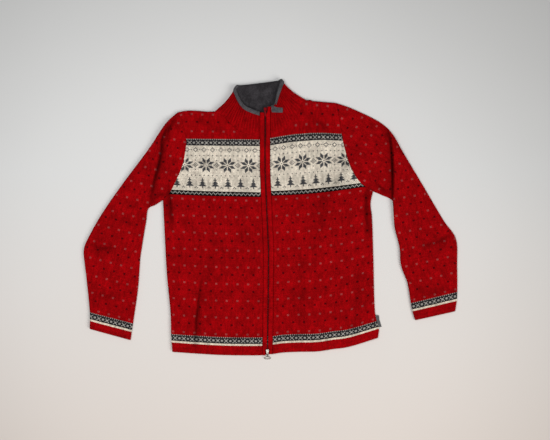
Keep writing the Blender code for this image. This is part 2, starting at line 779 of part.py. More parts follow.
def zip_sections(lines):
    """Sections of the closed zip chain between the two sliders."""
    right, left = lines["right"], lines["left"]
    sections = []
    low, high = BOTTOM_SLIDER_Y + SLIDER_SIZE[1] / 2 + SEAM, TOP_SLIDER_Y - SLIDER_SIZE[1] / 2 - SEAM
    for y in np.linspace(low, high, CHAIN_SECTIONS):
        x = (x_at(right, y) + x_at(left, y)) / 2
        z = (x_at(right[:, [2, 1]], y) + x_at(left[:, [2, 1]], y)) / 2 - CHAIN_DROP
        sections.append([(x + dx, y, z + dz) for dx, dz in CHAIN_PROFILE])
    return sections


def add_slider(name, at, material):
    """A zip slider: a waisted block with two lugs that hold the pull's axis between them."""
    width, length, height = SLIDER_SIZE
    sections = [[(width * x * size, length * y * size, height * (level - 1)) for x, y in SLIDER_OUTLINE]
                for level, size in SLIDER_LEVELS]
    body = add_loft(name, sections, material, (at[0], at[1], at[2]))
    for out in (-1, 1):
        lug = [[(out * (LUG_GAP + t), y, z) for y, z in LUG_OUTLINE] for t in (0.0, LUG_WIDTH)]
        part = add_loft(f"{name}_lug_{'a' if out < 0 else 'b'}", lug, material, (at[0], at[1], at[2]))
        part.hide_render = True
        part.display_type = "WIRE"
        join = body.modifiers.new("lug", "BOOLEAN")
        join.operation = "UNION"
        join.object = part


def ring_mesh(across, deep, bar, centre_y):
    """Points and faces of an oval ring of round wire, lying flat with its centre at y."""
    points, faces = [], []
    for i in range(RING_TURNS):
        angle = 2 * math.pi * i / RING_TURNS
        for j in range(RING_SIDES):
            around = 2 * math.pi * j / RING_SIDES
            reach = bar / 2 * math.cos(around)
            points.append(((across / 2 - bar / 2 + reach) * math.cos(angle),
                           centre_y + (deep / 2 - bar / 2 + reach) * math.sin(angle),
                           bar / 2 * math.sin(around)))
            k, m = (i + 1) % RING_TURNS, (j + 1) % RING_SIDES
            faces.append((i * RING_SIDES + j, k * RING_SIDES + j, k * RING_SIDES + m, i * RING_SIDES + m))
    return points, faces


def add_pull(name, at, tilt, plate, ring, material):
    """A pull that turns on the slider's axis: a plate, and past it a ring where it has one."""
    width, length, thick = plate
    half = thick / 2
    round_end = [math.radians(a) for a in range(-90, 91, 30)]
    outline = [(half * math.cos(a), half * math.sin(a)) for a in round_end]
    outline += [(-length, half), (-length, -half)]
    sections = [[(x, y, z) for y, z in outline] for x in (-width / 2, width / 2)]
    pull = add_loft(name, sections, material, at)
    pull.rotation_euler = (math.radians(tilt), 0.0, 0.0)
    if ring is None:
        return
    across, deep, bar = ring
    points, faces = ring_mesh(across, deep, bar, bar * 0.7 - length - deep / 2)
    loop = add_object(f"{name}_ring", points, faces, material, at)
    loop.rotation_euler = pull.rotation_euler
    loop.hide_render = True
    loop.display_type = "WIRE"
    join = pull.modifiers.new("ring", "BOOLEAN")
    join.operation = "UNION"
    join.object = loop


def label_sections(front):
    """Sections of the blank side label, which droops from the side seam to just above the table."""
    seam = [row[0] for row in front if row[0][1] < SIDE["left"][-1][1]]
    heights = sorted([*LABEL_Y, *[y for _x, y, _z in seam if LABEL_Y[0] < y < LABEL_Y[1]]])
    sections = []
    for y in heights:
        edge = x_at(seam, y) + SEAM
        middle = LAID / 2
        top = [(edge + LABEL_WIDTH * t, y, middle + TAPE / 2 + dz) for t, dz in LABEL_DROOP]
        sections.append(top + [(x, yy, z - TAPE) for x, yy, z in reversed(top)])
    return sections


def clear_scene():
    """Removes what Blender's new file holds."""
    for thing in list(bpy.data.objects):
        bpy.data.objects.remove(thing)


def build():
    """Builds the whole cardigan."""
    clear_scene()
    red = new_material("red_knit", (0.33, 0.003, 0.005), 0.85)
    rib = new_material("red_rib", (0.33, 0.003, 0.005), 0.85)
    grey = new_material("grey_knit", (0.05, 0.048, 0.052), 0.9)
    tape = new_material("zip_tape", (0.16, 0.004, 0.006), 0.8)
    coil = new_material("zip_coil", (0.1, 0.005, 0.006), 0.45)
    metal = new_material("zip_metal", (0.62, 0.58, 0.52), 0.3, 1.0)
    lacquer = new_material("red_lacquer", (0.36, 0.004, 0.01), 0.4)
    label = new_material("label_tape", (0.09, 0.09, 0.09), 0.8)

    fronts = {side: front_grids(side) for side in SIDE}
    back = back_grids()
    add_slab("back", *back, red)
    for side in SIDE:
        add_slab(f"front_{side}", *fronts[side], red)
        add_tube(f"sleeve_{side}", *sleeve_rings(side, fronts[side][0]), red)

    path = collar_path({side: grids[0] for side, grids in fronts.items()})
    add_slab("collar", *collar_grids(path), rib)
    add_loft("collar_facing", facing_sections(path), grey)
    add_slab("collar_corner", *corner_grids(path), grey)

    lines = {side: band_line(side, fronts[side][0], path) for side in SIDE}
    for side, line in lines.items():
        add_loft(f"band_{side}", band_sections(side, line), rib)
        add_loft(f"zip_tape_{side}", tape_sections(side, line), tape)
    add_loft("zip_chain", zip_sections(lines), coil)

    for name, y, finish, tilt, plate, ring in PULLS:
        x = (x_at(lines["right"], y) + x_at(lines["left"], y)) / 2
        band_top = x_at(lines["right"][:, [2, 1]], y) + BAND_RAISE
        top = band_top + SLIDER_PROUD
        material = metal if finish == "metal" else lacquer
        add_slider(f"slider_{name}", (x, y, top), material)
        axis = (x, y + PULL_AXIS_Y, top + PULL_AXIS_Z)
        add_pull(f"pull_{name}", axis, tilt, plate, ring, material)
    add_loft("side_label", label_sections(fronts["left"][0]), label)


build()
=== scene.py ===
"""A zip-front knitted cardigan with a stand collar, laid flat on a pale table.

The cloth is built in mm from the same named values and tables as the solids, with finer sections,
creases and ribs. The knit is drawn by the materials from UV coordinates counted in stitches and rows.
"""
import math

import bmesh
import bpy
import numpy as np
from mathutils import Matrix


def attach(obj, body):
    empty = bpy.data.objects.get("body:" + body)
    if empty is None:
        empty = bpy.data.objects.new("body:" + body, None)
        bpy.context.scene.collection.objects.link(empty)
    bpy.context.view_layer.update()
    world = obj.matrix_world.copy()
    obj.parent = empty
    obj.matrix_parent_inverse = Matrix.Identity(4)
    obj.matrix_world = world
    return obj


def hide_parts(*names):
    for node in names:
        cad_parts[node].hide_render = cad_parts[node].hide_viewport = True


# Cloth, in mm
CLOTH = 2.8
FACING = 2.0
TAPE = 0.8
SEAM = 0.3
FACING_GAP = 0.5
RIM_CLEARANCE = 1.2
LAID = 8.6
THINNEST = 2 * CLOTH + 0.3
SIDE_ROUND = LAID / 2

# Neck and collar, in mm
NECK_CENTRE = (-25.0, 290.0)
NECK_PLATEAU = 90.0
NECK_REACH = 70.0
NECK_RISE = 3.4
RIB_PITCH = 7.0
RIB_HEIGHT = 1.3
# Painted shade: how much the colour is darkened in the valleys between the collar's ribs
RIB_VALLEY_PAINTED_SHADE = 0.32
RIB_STITCHES = 1.17
RIM_FOLD = 8.0
COLLAR_GAP = 0.35
BACK_RIM_HEIGHT = 4.6
BACK_RIM_BOW = -1.5
BACK_DROP = 16.0
SEAM_LAP = 1.0
FRONT_SWELL = 1.6
TOP_ZIP_HEIGHT = 15.5
TOP_MOUTH_HEIGHT = 18.5

# Zip and its bands, in mm
BAND = 12.0
BAND_RAISE = 0.6
BAND_GAP = 1.5
SLIDER_GAP = 4.9
BOTTOM_SLIDER_Y = -337.5
TOP_SLIDER_Y = 280.5
SLIDER_LENGTH = 11.0
TOOTH_PITCH = 2.0
TOOTH_DROP = 2.1
TOOTH = np.array([
    (-0.2, -0.34, -0.9), (1.25, -0.34, -0.9), (1.25, 0.34, -0.9), (-0.2, 0.34, -0.9),
    (-0.1, -0.26, 0.9), (1.05, -0.3, 0.55), (1.05, 0.3, 0.55), (-0.1, 0.26, 0.9),
])
TOOTH_FACES = np.array([(0, 3, 2, 1), (4, 5, 6, 7), (0, 1, 5, 4), (1, 2, 6, 5), (2, 3, 7, 6), (3, 0, 4, 7)])

# Half of a band's section, from its outer edge to its middle: share of the width, share of the cloth
# under the top face, and how far the band is raised
HALF_BAND = [
    (0.0, -1.0, 0.0),
    (0.0, -0.45, 0.0),
    (0.02, -0.15, 0.0),
    (0.07, 0.0, 0.3),
    (0.15, 0.0, 0.75),
    (0.3, 0.0, 1.5),
]
BAND_PROFILE = [*HALF_BAND, (0.5, 0.0, 0.6), *[(1 - t, drop, rise) for t, drop, rise in HALF_BAND[::-1]]]

# The turned-out corner of the facing, in mm
CORNER_X = (2.5, 31.5)
CORNER_Y = (270.0, 285.5)

# Turned hem and cuffs, in mm
TURNED = 23.0
TURNED_STEP = 0.6

# Knit gauge in mm, and rows counted from the hem
STITCH = 2.72
ROW = 2.4
FINE_STITCH = 2.0
FINE_ROW = 1.8
SHOULDER_ROW = 260.0
LEG_SLANT = 0.42

# How finely the pieces are divided: angles of a rounded fold, sections and columns, and the passes in
# which an edge or a knit row is found
ROUND = np.linspace(0.0, 90.0, 7)
SEAM_ROWS = 120
FIRST_ARMHOLE_ROW = SEAM_ROWS + 1
LOWER_ARMHOLE_ROWS = 46
NECK_ROWS = 30
FRONT_COLUMNS = 80
BACK_COLUMNS = 90
SLEEVE_SECTIONS = 124
EDGE_PASSES = 14
GRAIN_PASSES = 12
RUN_PLACES = 61
CURL_PLACES = 21
BACK_PLACES = 27
COLLAR_ROWS = 17
FACING_PITCH = 2.4
BAND_SECTIONS = 300

# Columns of the facing's section that show as its roll over the top edge. Painted light: they take a
# lighter copy of the facing's grey.
ROLL_COLUMNS_PAINTED_LIGHT = (4, 16)

# Lines of the garment as it lies, x and y in mm, for each side from the hem or the zip outward
SIDE = {
    "right": [(-252, -339), (-255, -297), (-257, -235), (-266, -139), (-272, -29), (-276, 50)],
    "left": [(276, -303), (278, -276), (268, -235), (264, -98), (261, -1), (257, 40), (263, 72)],
}
ARMHOLE = {
    "right": [(-276, 50), (-256, 71), (-241, 102), (-225, 140), (-216, 189), (-217, 215), (-226, 250),
              (-238, 275)],
    "left": [(263, 72), (233, 92), (216, 114), (200, 147), (185, 203), (179, 240), (168, 299)],
}
NECKLINE = {
    "right": [(-27.5, 212), (-73, 223), (-96, 239), (-118, 262), (-142, 277)],
    "left": [(0.5, 211), (22, 221), (49, 239), (67, 266), (80, 296), (91, 306)],
}
SHOULDER = {
    "right": [(-238, 275), (-216, 279), (-190, 279), (-160, 276.5), (-142, 277), (-14, 273)],
    "left": [(-14, 292), (91, 306), (108, 304), (130, 302), (168, 299)],
}
BACK_NECK = [(-142, 277), (-25, 287), (91, 306)]
MIDDLE_X = -14.0
HEM = [(-252, -339), (-194, -343), (-128, -347), (-60, -348), (-12, -347), (30, -341), (72, -339),
       (118, -338), (160, -332), (202, -326), (276, -303)]
ZIP = [(-14, 290), (-14, 127), (-10, 35), (-5, -78), (-6, -207), (-8, -347)]
MOUTH = {
    "right": [(-27.5, 273), (-46, 279), (-66, 289), (-80, 308), (-88, 327)],
    "left": [(1, 288), (11, 294), (17, 318), (23, 338), (27, 349)],
}

# Sleeve sections from the armhole to the cuff: outer edge x, y and inner edge x, y
SLEEVE = {
    "right": [
        (-238, 275, -276, 50),
        (-269, 246, -296, 37),
        (-314, 179, -314, 27),
        (-377, 95, -319, -5),
        (-430, 19, -325, -40),
        (-465, -42, -330, -72),
        (-479, -76, -334, -98),
        (-477, -112, -337, -140),
        (-472, -153, -341, -186),
        (-464, -235, -353, -268),
        (-464, -280, -359, -309),
    ],
    "left": [
        (168, 299, 263, 72),
        (213, 283, 284, 63),
        (280, 250, 313, 48),
        (313, 219, 316, 20),
        (341, 171, 319, -22),
        (395, 81, 331, -71),
        (444, -2, 335, -118),
        (476, -50, 351, -161),
        (479, -120, 357, -195),
        (479, -197, 363, -230),
        (474, -235, 371, -258),
    ],
}

# Shares of a sleeve's length at the last plain section, the start of the turned cuff and its end
CUFF_SHARES = (0.955, 0.96, 1.0)

# The setting, in metres: the camera straight above, and half of the floor
CAMERA_AT = (0.0116, -0.0013, 1.965)
FLOOR_HALF = 6.0

# Share of a sleeve over which the armhole's curve dies away
ARMHOLE_FADE = 0.35

# Rows of the knit that show how the cloth lies: row number and points of the line, for each front
ROW_LINES = {
    "right": [
        (172.5, [(-256, 70), (-190, 67), (-120, 65), (-27, 63)]),
        (227.0, [(-216, 199), (-120, 198), (-27, 197)]),
    ],
    "left": [
        (172.5, [(0, 66), (84, 70), (145, 76), (192, 82), (235, 88), (262, 90)]),
        (227.0, [(0, 199), (42, 206), (76, 210), (127, 213), (180, 211)]),
    ],
}

# How the knit runs on the sleeves: a start, and angles of the rows at distances up from it
SLEEVE_GRAIN = {
    "right": ((-412.0, -298.5), [(0, -15.0), (120, -14.0), (600, -14.0)]),
    "left": ((422.5, -246.5), [(0, 12.6), (60, 14.0), (260, 10.0), (480, 6.5)]),
}
INNER_GRAIN = ((215.0, 190.0), [(0, 240.0), (300, 240.0)])
INNER_ROW = 120.0
SLEEVE_FOLD = [(295, 239), (306, 212), (311.5, 170), (313.5, 120), (313, 70), (312, 38)]

# Folds: a line, the side of it that is lifted, and in mm the lift, the depth of the crease, how wide
# the crease is and how far the lifted cloth takes to come down. The deeper the crease, the steeper
# its lifted side, and the darker the shade painted into its colour.
FAR_SIDE = 0.45
STEEP = 0.62
DEEPEST = 2.7
FOLDS = [
    (SLEEVE_FOLD, 1, 10.5, 2.7, 7, 42),
    ([(-250, 262), (-277, 212), (-281, 180), (-288, 140), (-299, 99), (-312, 34)], -1, 7.0, 2.7, 9, 30),
    ([(-240, 268), (-262, 226), (-262, 196)], 1, 3.0, 2.0, 9, 20),
    ([(262, 96), (286, 82), (306, 68)], 1, 2.2, 1.9, 7, 14),
    ([(-268, 66), (-290, 60), (-306, 44)], 1, 2.0, 1.7, 8, 14),
    ([(-262, 90), (-255, 40), (-250, -20)], 1, 3.2, 2.4, 9, 24),
    ([(246, 84), (243, 40), (248, -40)], -1, 2.8, 2.2, 10, 24),
    ([(-196, -336), (-190, -250), (-180, -160)], 1, 3.0, 2.4, 8, 24),
    ([(-468, -58), (-436, -72), (-396, -70)], 1, 2.4, 1.9, 10, 20),
    ([(468, -30), (430, -56), (384, -66)], -1, 2.8, 2.0, 10, 20),
    ([(200, 150), (150, 60), (120, -40)], 1, 1.6, 1.3, 16, 34),
    ([(-424, 14), (-380, -2), (-340, -26)], -1, 1.4, 1.0, 13, 24),
    ([(-455, -190), (-400, -196), (-352, -176)], 1, 1.7, 1.2, 12, 26),
    ([(-188, 262), (-150, 236), (-112, 226)], -1, 1.8, 1.2, 14, 30),
    ([(96, 286), (118, 254), (150, 232)], 1, 1.9, 1.3, 14, 30),
    ([(-150, -40), (-158, -130), (-176, -230)], -1, 1.3, 1.0, 14, 30),
    ([(70, -60), (82, -170), (76, -290)], 1, 1.4, 1.1, 13, 30),
    ([(214, -120), (222, -200), (206, -296)], -1, 1.5, 1.2, 13, 26),
    ([(-62, 150), (-66, 20), (-52, -110)], 1, 1.0, 0.8, 15, 34),
    ([(372, -170), (410, -186), (458, -170)], 1, 1.6, 1.2, 12, 24),
    ([(300, 232), (340, 170), (372, 92)], -1, 1.5, 1.1, 14, 30),
]

# Direction of x away from the middle
OUTWARD = {"right": -1.0, "left": 1.0}

# How far the collar's top edge moves in x and y as it turns round each side fold
TOP_TURN = {"right": (8.0, 15.0), "left": (-6.0, 5.0)}

# How far the collar's side folds are drawn in halfway up, and in how many mm of the back that dies away
SIDE_DRAW = {"right": 5.0, "left": 5.5}
BACK_FADE = 40.0

# Charts: "x" is a stitch in the second colour. Rows are listed from the top.
BORDER = [
    "x.x.x.x.",
    "........",
    "x..x....",
    ".xx..xx.",
    ".xx..xx.",
    "x..x....",
    "........",
]
ZIGZAG = [
    "x...",
    ".x.x",
    "..x.",
]

# Mirrored charts start at the middle of the motif
FIRS = [
    "x......",
    "x......",
    "xx.....",
    "x......",
    "xx.....",
    "xxx....",
    "xx.....",
    "xxx....",
    "xxxx...",
    "x.....x",
    "x....x.",
]
HALF_STARS = [
    "...x.......",
    "..xx.......",
    ".xxx......x",
    ".xxx.......",
    ".xx.xxxx...",
    ".x.xxxx...x",
    "..xxxx...x.",
]
STARS = [*HALF_STARS, "x.......x.x", *HALF_STARS[::-1]]
DIAMONDS = ["x....", ".x...", "..x.x", ".x...", "x...."]
DOTS = ["x..."]

# Rows of the knit where each part of the pattern starts and ends, and the charts on the chest panel:
# first row, chart, and whether it is mirrored
CREAM_ROW = 10
BORDER_ROW = 12
LICE_ROWS = (20, 400)
ZIGZAG_ROWS = (170, 175)
PANEL_ROWS = (175, 223)
YOKE_ROWS = (231, 300)
PANEL_CHARTS = [
    (178, FIRS, True),
    (191, DOTS, False),
    (195, STARS, True),
    (212, DOTS, False),
    (216, DIAMONDS, True),
]

# Lice dots: their size, the pitch across and up, and the first column and row of each kind
LICE_SIZE = 2
LICE_PITCH = (10.0, 18.0)
LIGHT_LICE = (3, 3)
DARK_LICE = (8, 13)


def smooth_line(points, steps=10):
    """A smooth line through the points, with some steps between each two of them."""
    p = np.asarray(points, float)
    padded = np.vstack([2 * p[0] - p[1], p, 2 * p[-1] - p[-2]])
    line = [p[0]]
    for i in range(1, len(p)):
        a, b, c, d = padded[i - 1 : i + 3]
        for k in range(1, steps + 1):
            t = k / steps
            line.append(0.5 * (2 * b + (c - a) * t + (2 * a - 5 * b + 4 * c - d) * t**2
                               + (3 * b - a - 3 * c + d) * t**3))
    return np.array(line)


def lengths_of(line):
    """Distance from the start of a line to each of its points."""
    return np.concatenate([[0.0], np.cumsum(np.linalg.norm(np.diff(line, axis=0), axis=1))])


def read_off(at, places, table):
    """Each column of a table at places between its rows."""
    return np.stack([np.interp(at, places, column) for column in np.transpose(table)], axis=-1)


def joined(*parts):
    """Arrays side by side as the columns of points."""
    return np.stack(np.broadcast_arrays(*parts), axis=-1)


def unit(vectors):
    """Vectors at a length of one."""
    return vectors / np.linalg.norm(vectors, axis=-1, keepdims=True)


def along(line, shares):
    """Points at shares of a line's length."""
    lengths = lengths_of(line)
    at = np.asarray(shares, float) * lengths[-1]
    return read_off(at, lengths, line)


def x_at(line, y):
    """x of a line that climbs steadily in y."""
    order = np.argsort(line[:, 1])
    return np.interp(y, line[order, 1], line[order, 0])


def y_at(line, x):
    """y of a line that runs steadily in x."""
    return x_at(line[:, ::-1], x)


def both_lines(table):
    """The smooth lines of both sides."""
    return {side: smooth_line(points) for side, points in table.items()}


SIDE_LINE = both_lines(SIDE)
ARMHOLE_LINE = both_lines(ARMHOLE)
NECK_LINE = both_lines(NECKLINE)
MOUTH_LINE = both_lines(MOUTH)
SHOULDER_LINE = both_lines(SHOULDER)
HEM_LINE = smooth_line(HEM)
ZIP_LINE = np.asarray(ZIP, float)
BACK_NECK_LINE = np.asarray(BACK_NECK, float)


def beside_fold(points, side, x, y):
    """Distance in mm to the lifted side of a fold's line, and how far the fold is present there: it
    dies away towards both ends of its line."""
    line = smooth_line(points, 5)
    lengths = lengths_of(line)
    best = np.full(np.shape(x), np.inf)
    turn = np.ones(np.shape(x))
    share = np.zeros(np.shape(x))
    for a, b, start in zip(line, line[1:], lengths):
        run = b - a
        t = np.clip(((x - a[0]) * run[0] + (y - a[1]) * run[1]) / run.dot(run), 0.0, 1.0)
        dx, dy = x - a[0] - run[0] * t, y - a[1] - run[1] * t
        far = np.hypot(dx, dy)
        near = far < best
        best = np.where(near, far, best)
        turn = np.where(near, np.sign(run[0] * dy - run[1] * dx), turn)
        share = np.where(near, (start + t * np.hypot(*run)) / lengths[-1], share)
    return best * turn * side, np.sin(math.pi * (0.12 + 0.76 * share))


def steep_side(dip, step):
    """Width in mm of the lifted side of a crease."""
    return step * (1 - STEEP * (dip / DEEPEST) ** 2)


def fold_height(fold, x, y):
    """What one fold adds to the height of the cloth."""
    points, side, lift, dip, step, fall = fold
    distance, taper = beside_fold(points, side, x, y)
    wide = np.where(distance > 0, steep_side(dip, step), step)
    rise = np.clip(np.abs(distance) / wide, 0.0, 1.0)
    swell = np.where(distance > 0, lift, FAR_SIDE * lift) * rise * rise * (3 - 2 * rise)
    lifted = swell * np.exp(-np.abs(distance) / np.where(distance > 0, fall, FAR_SIDE * fall))
    return taper * (lifted - dip * np.exp(-1.5 * (distance / wide) ** 2))


def painted_crease_shade(x, y):
    """Painted shade: how far the colour of a point of the top face is darkened for lying in a crease, from
    0 to 1.
    """
    shade = np.zeros(np.shape(x))
    for points, side, _lift, dip, step, _fall in FOLDS:
        distance, taper = beside_fold(points, side, x, y)
        reach = np.where(distance > 0, 0.6 * steep_side(dip, step), 1.2 * step)
        depth = taper * (dip / DEEPEST) ** 1.5
        shade = np.maximum(shade, depth * np.exp(-((np.abs(distance) / reach) ** 1.3)))
    return shade


def plain_height(x, y):
    """Height of the top face with no folds: flat, and higher round the neck."""
    away = np.hypot(x - NECK_CENTRE[0], y - NECK_CENTRE[1])
    return LAID + NECK_RISE * np.exp(-((np.maximum(0.0, away - NECK_PLATEAU) / NECK_REACH) ** 2))


def ripple(x, y):
    """The slight unevenness of soft cloth that lies on cloth."""
    return (0.34 * np.sin(x / 17 + 1.7 * np.sin(y / 47) + 0.6)
            + 0.28 * np.sin(y / 21 + 1.3 * np.sin(x / 53) + 2.1)
            + 0.34 * np.sin((x + 1.4 * y) / 29 + 1.1 * np.sin((x - y) / 67))
            + 0.26 * np.sin((1.6 * x - y) / 37 + 1.4 * np.sin((x + y) / 59)))


def top_height(x, y):
    """Height of the upper layer's outer face."""
    height = plain_height(x, y) + ripple(x, y)
    for fold in FOLDS:
        height = height + fold_height(fold, x, y)
    return np.maximum(height, THINNEST)


def under_height(x, y, top):
    """Height of the upper layer's inner face. Cloth that is folded on itself is one thick wall."""
    return np.minimum(top, plain_height(x, y)) - CLOTH


def top_line(side, x):
    """y of the shoulder line of one side at x."""
    return y_at(SHOULDER_LINE[side], x)


def at_neck(x):
    """Whether x lies on the back's neck edge."""
    return (x > BACK_NECK[0][0]) & (x < BACK_NECK[-1][0])


def back_line(x):
    """y of the back's top line at x: shoulder, neck, shoulder."""
    shoulders = np.where(x < MIDDLE_X, top_line("right", x), top_line("left", x))
    return np.where(at_neck(x), y_at(BACK_NECK_LINE, x), shoulders)


def fold_inset(angle, inner):
    """How far a point of a rounded fold lies inside the fold's edge."""
    return SIDE_ROUND - (SIDE_ROUND - CLOTH * inner) * np.cos(np.radians(angle))


def body_length(side):
    """Height in mm from the hem to the shoulder at the side."""
    return ARMHOLE[side][-1][1] - SIDE[side][0][1]


def body_rows(side):
    """Sections of the body from the hem up: the share of the height, how far the side fold turns
    down, and the angle on the shoulder fold, or none below it."""
    length = body_length(side)

    def share_at(x, y):
        hem = y_at(HEM_LINE, x)
        return (y - hem) / (top_line(side, x) - hem)

    under = share_at(*SIDE[side][-1])
    step = TURNED / length
    seam = sorted([*np.linspace(0.0, under, SEAM_ROWS), step - 0.0005, step + 0.001])
    rows = [(share, 1.0, np.nan) for share in seam]
    for angle in ROUND[1:]:
        inset = SIDE_ROUND * (1 - math.cos(math.radians(angle)))
        rows.append((under + inset / length, 1 - math.sin(math.radians(angle)), np.nan))
    neck = along(NECK_LINE[side], np.linspace(0, 1, 200))
    neck = neck[neck[:, 1] < top_line(side, neck[:, 0]) - 1.5 * SIDE_ROUND]
    upper = [share_at(*p) for p in along(neck, np.linspace(0, 1, NECK_ROWS))]
    lower = np.linspace(rows[-1][0], upper[0], LOWER_ARMHOLE_ROWS + 1)[1:-1]
    rows += [(share, 0.0, np.nan) for share in [*lower, *upper]]
    rows += [(1.0, 0.0, angle) for angle in ROUND[::-1]]
    return np.array(rows)


def row_y(share, angle, x, top, inner):
    """y of a section of the body at x, under a top line."""
    hem = y_at(HEM_LINE, x)
    on_fold = top - fold_inset(np.nan_to_num(angle), inner)
    return np.where(np.isnan(angle), hem + share * (top - hem), on_fold)


def edge_limit(side, y):
    """x of the body's edge at y: the side seam, and above it the armhole."""
    return np.where(y <= SIDE[side][-1][1], x_at(SIDE_LINE[side], y), x_at(ARMHOLE_LINE[side], y))


def band_side(side, y):
    """x of a band's outer side at y."""
    return x_at(ZIP_LINE, y) + OUTWARD[side] * (BAND_GAP + BAND)


def zip_limit(side, y):
    """x of a front's inner edge at y: the band's outer side, and above it the neckline."""
    return np.where(y > NECKLINE[side][0][1], x_at(NECK_LINE[side], y), band_side(side, y))


def row_end(rows, side, limit, inner):
    """x where each section of the body meets a limiting line."""
    x = np.full(len(rows), float(limit(side, SIDE[side][-1][1])))
    for _ in range(EDGE_PASSES):
        x = limit(side, row_y(rows[:, 0], rows[:, 2], x, top_line(side, x), inner))
    return x


def turned(face, x, y, sine, gap):
    """Height on a rounded fold. A sine of 1 is the layer's flat face, and 0 is the fold's edge, half a
    gap above the middle for the upper layer and half a gap below it for the lower one."""
    middle = plain_height(x, y) / 2
    return middle + (1 - sine) * gap / 2 + (face - middle) * sine


def sine_of(angle):
    """Sine of a fold's angle, which is 1 where there is no fold."""
    return np.where(np.isnan(angle), 1.0, np.sin(np.radians(np.nan_to_num(angle))))


def side_fold(rows, inner):
    """Insets and sines of the rounded side fold, for each section and fold angle."""
    angles = ROUND[None, :-1]
    turn = rows[:, 1:2]
    inset = turn * fold_inset(angles, inner) + (1 - turn) * fold_inset(angles, False)
    return inset, 1 - turn * (1 - np.sin(np.radians(angles)))


def knit_row(side, x, y):
    """Row number of the knit at a point of a front, counted from the hem."""
    rows = [0.0, *[row for row, _line in ROW_LINES[side]], SHOULDER_ROW]
    heights = [y_at(HEM_LINE, x)]
    heights += [y_at(smooth_line(line), x) for _row, line in ROW_LINES[side]]
    heights.append(top_line(side, x))
    number = np.zeros(np.shape(x))
    for low, high, a, b in zip(rows, rows[1:], heights, heights[1:]):
        part = low + (high - low) * (y - a) / (b - a)
        number = np.where((y >= a) & ((y < b) | (high == SHOULDER_ROW)), part, number)
    return number


def front_grids(side):
    """Outer and inner points of a front, its knit coordinates and the shade painted into its creases,
    from the side to the zip.
    """
    out = OUTWARD[side]
    rows = body_rows(side)
    grids = []
    for inner in (False, True):
        edge = row_end(rows, side, edge_limit, inner)[:, None]
        zip_x = row_end(rows, side, zip_limit, inner)[:, None]
        inset, fold_sine = side_fold(rows, inner)
        flat = np.linspace(0, 1, FRONT_COLUMNS + 1)[None, :]
        start = edge - out * SIDE_ROUND
        x = np.hstack([edge - out * inset, start + (zip_x - start) * flat])
        sine = np.hstack([fold_sine, np.ones((len(rows), FRONT_COLUMNS + 1))])
        y = row_y(rows[:, :1], rows[:, 2:], x, top_line(side, x), inner)
        top = top_height(x, y)
        step = TURNED / body_length(side)
        face = under_height(x, y, top) if inner else top + TURNED_STEP * (rows[:, :1] < step)
        z = turned(face, x, y, np.minimum(sine, sine_of(rows[:, 2:])), SEAM)
        grids.append(joined(x, y, z))
    x, y = grids[0][..., 0], grids[0][..., 1]
    knit = joined((x - band_side(side, y)) * out / STITCH, knit_row(side, x, y))
    return grids[0], grids[1], knit, painted_crease_shade(x, y)


def back_grids():
    """Outer and inner points of the back, whose outer face lies on the table."""
    rows = {side: body_rows(side) for side in OUTWARD}
    shares = {side: rows[side][:, :1] for side in OUTWARD}
    flat = np.linspace(0, 1, BACK_COLUMNS + 1)[None, :]
    grids = []
    for inner in (False, True):
        start, end = (row_end(rows[side], side, edge_limit, inner)[:, None] for side in OUTWARD)
        inset, sine = side_fold(rows["right"], inner)
        low, high = start + SIDE_ROUND, end - SIDE_ROUND
        x = np.hstack([start + inset, low + (high - low) * flat, end - inset[:, ::-1]])
        sine = np.hstack([sine, 1 + 0 * (low + flat), sine[:, ::-1]])
        share = shares["right"] + (shares["left"] - shares["right"]) * ((x - start) / (end - start))
        angle = rows["right"][:, 2:] + 0 * x
        y = row_y(share, angle, x, back_line(x), inner & ~at_neck(x))
        sine = np.minimum(sine, np.where(at_neck(x), 1.0, sine_of(angle)))
        grids.append(joined(x, y, turned(CLOTH * inner, x, y, sine, -SEAM)))
    return grids[0], grids[1], joined((x - MIDDLE_X) / STITCH, share * SHOULDER_ROW)


def grain(points, start, angles):
    """Knit coordinates of plan points: stitches across and rows up from a start, where the rows'
    angle changes with the distance."""
    distances = np.linspace(-320.0, 700.0, 511)
    turns = np.radians(np.interp(distances, *np.transpose(angles)))
    steps = np.diff(distances)[:, None] * joined(-np.sin(turns), np.cos(turns))[:-1]
    line = np.vstack([[0.0, 0.0], np.cumsum(steps, axis=0)])
    line = line - read_off(0.0, distances, line) + start
    at = np.zeros(points.shape[:-1])
    for _ in range(GRAIN_PASSES):
        turn = np.interp(at, distances, turns)
        away = points - read_off(at, distances, line)
        at = at + 0.8 * (away[..., 1] * np.cos(turn) - away[..., 0] * np.sin(turn))
    across = away[..., 0] * np.cos(turn) + away[..., 1] * np.sin(turn)
    return joined(across / STITCH, at / ROW)


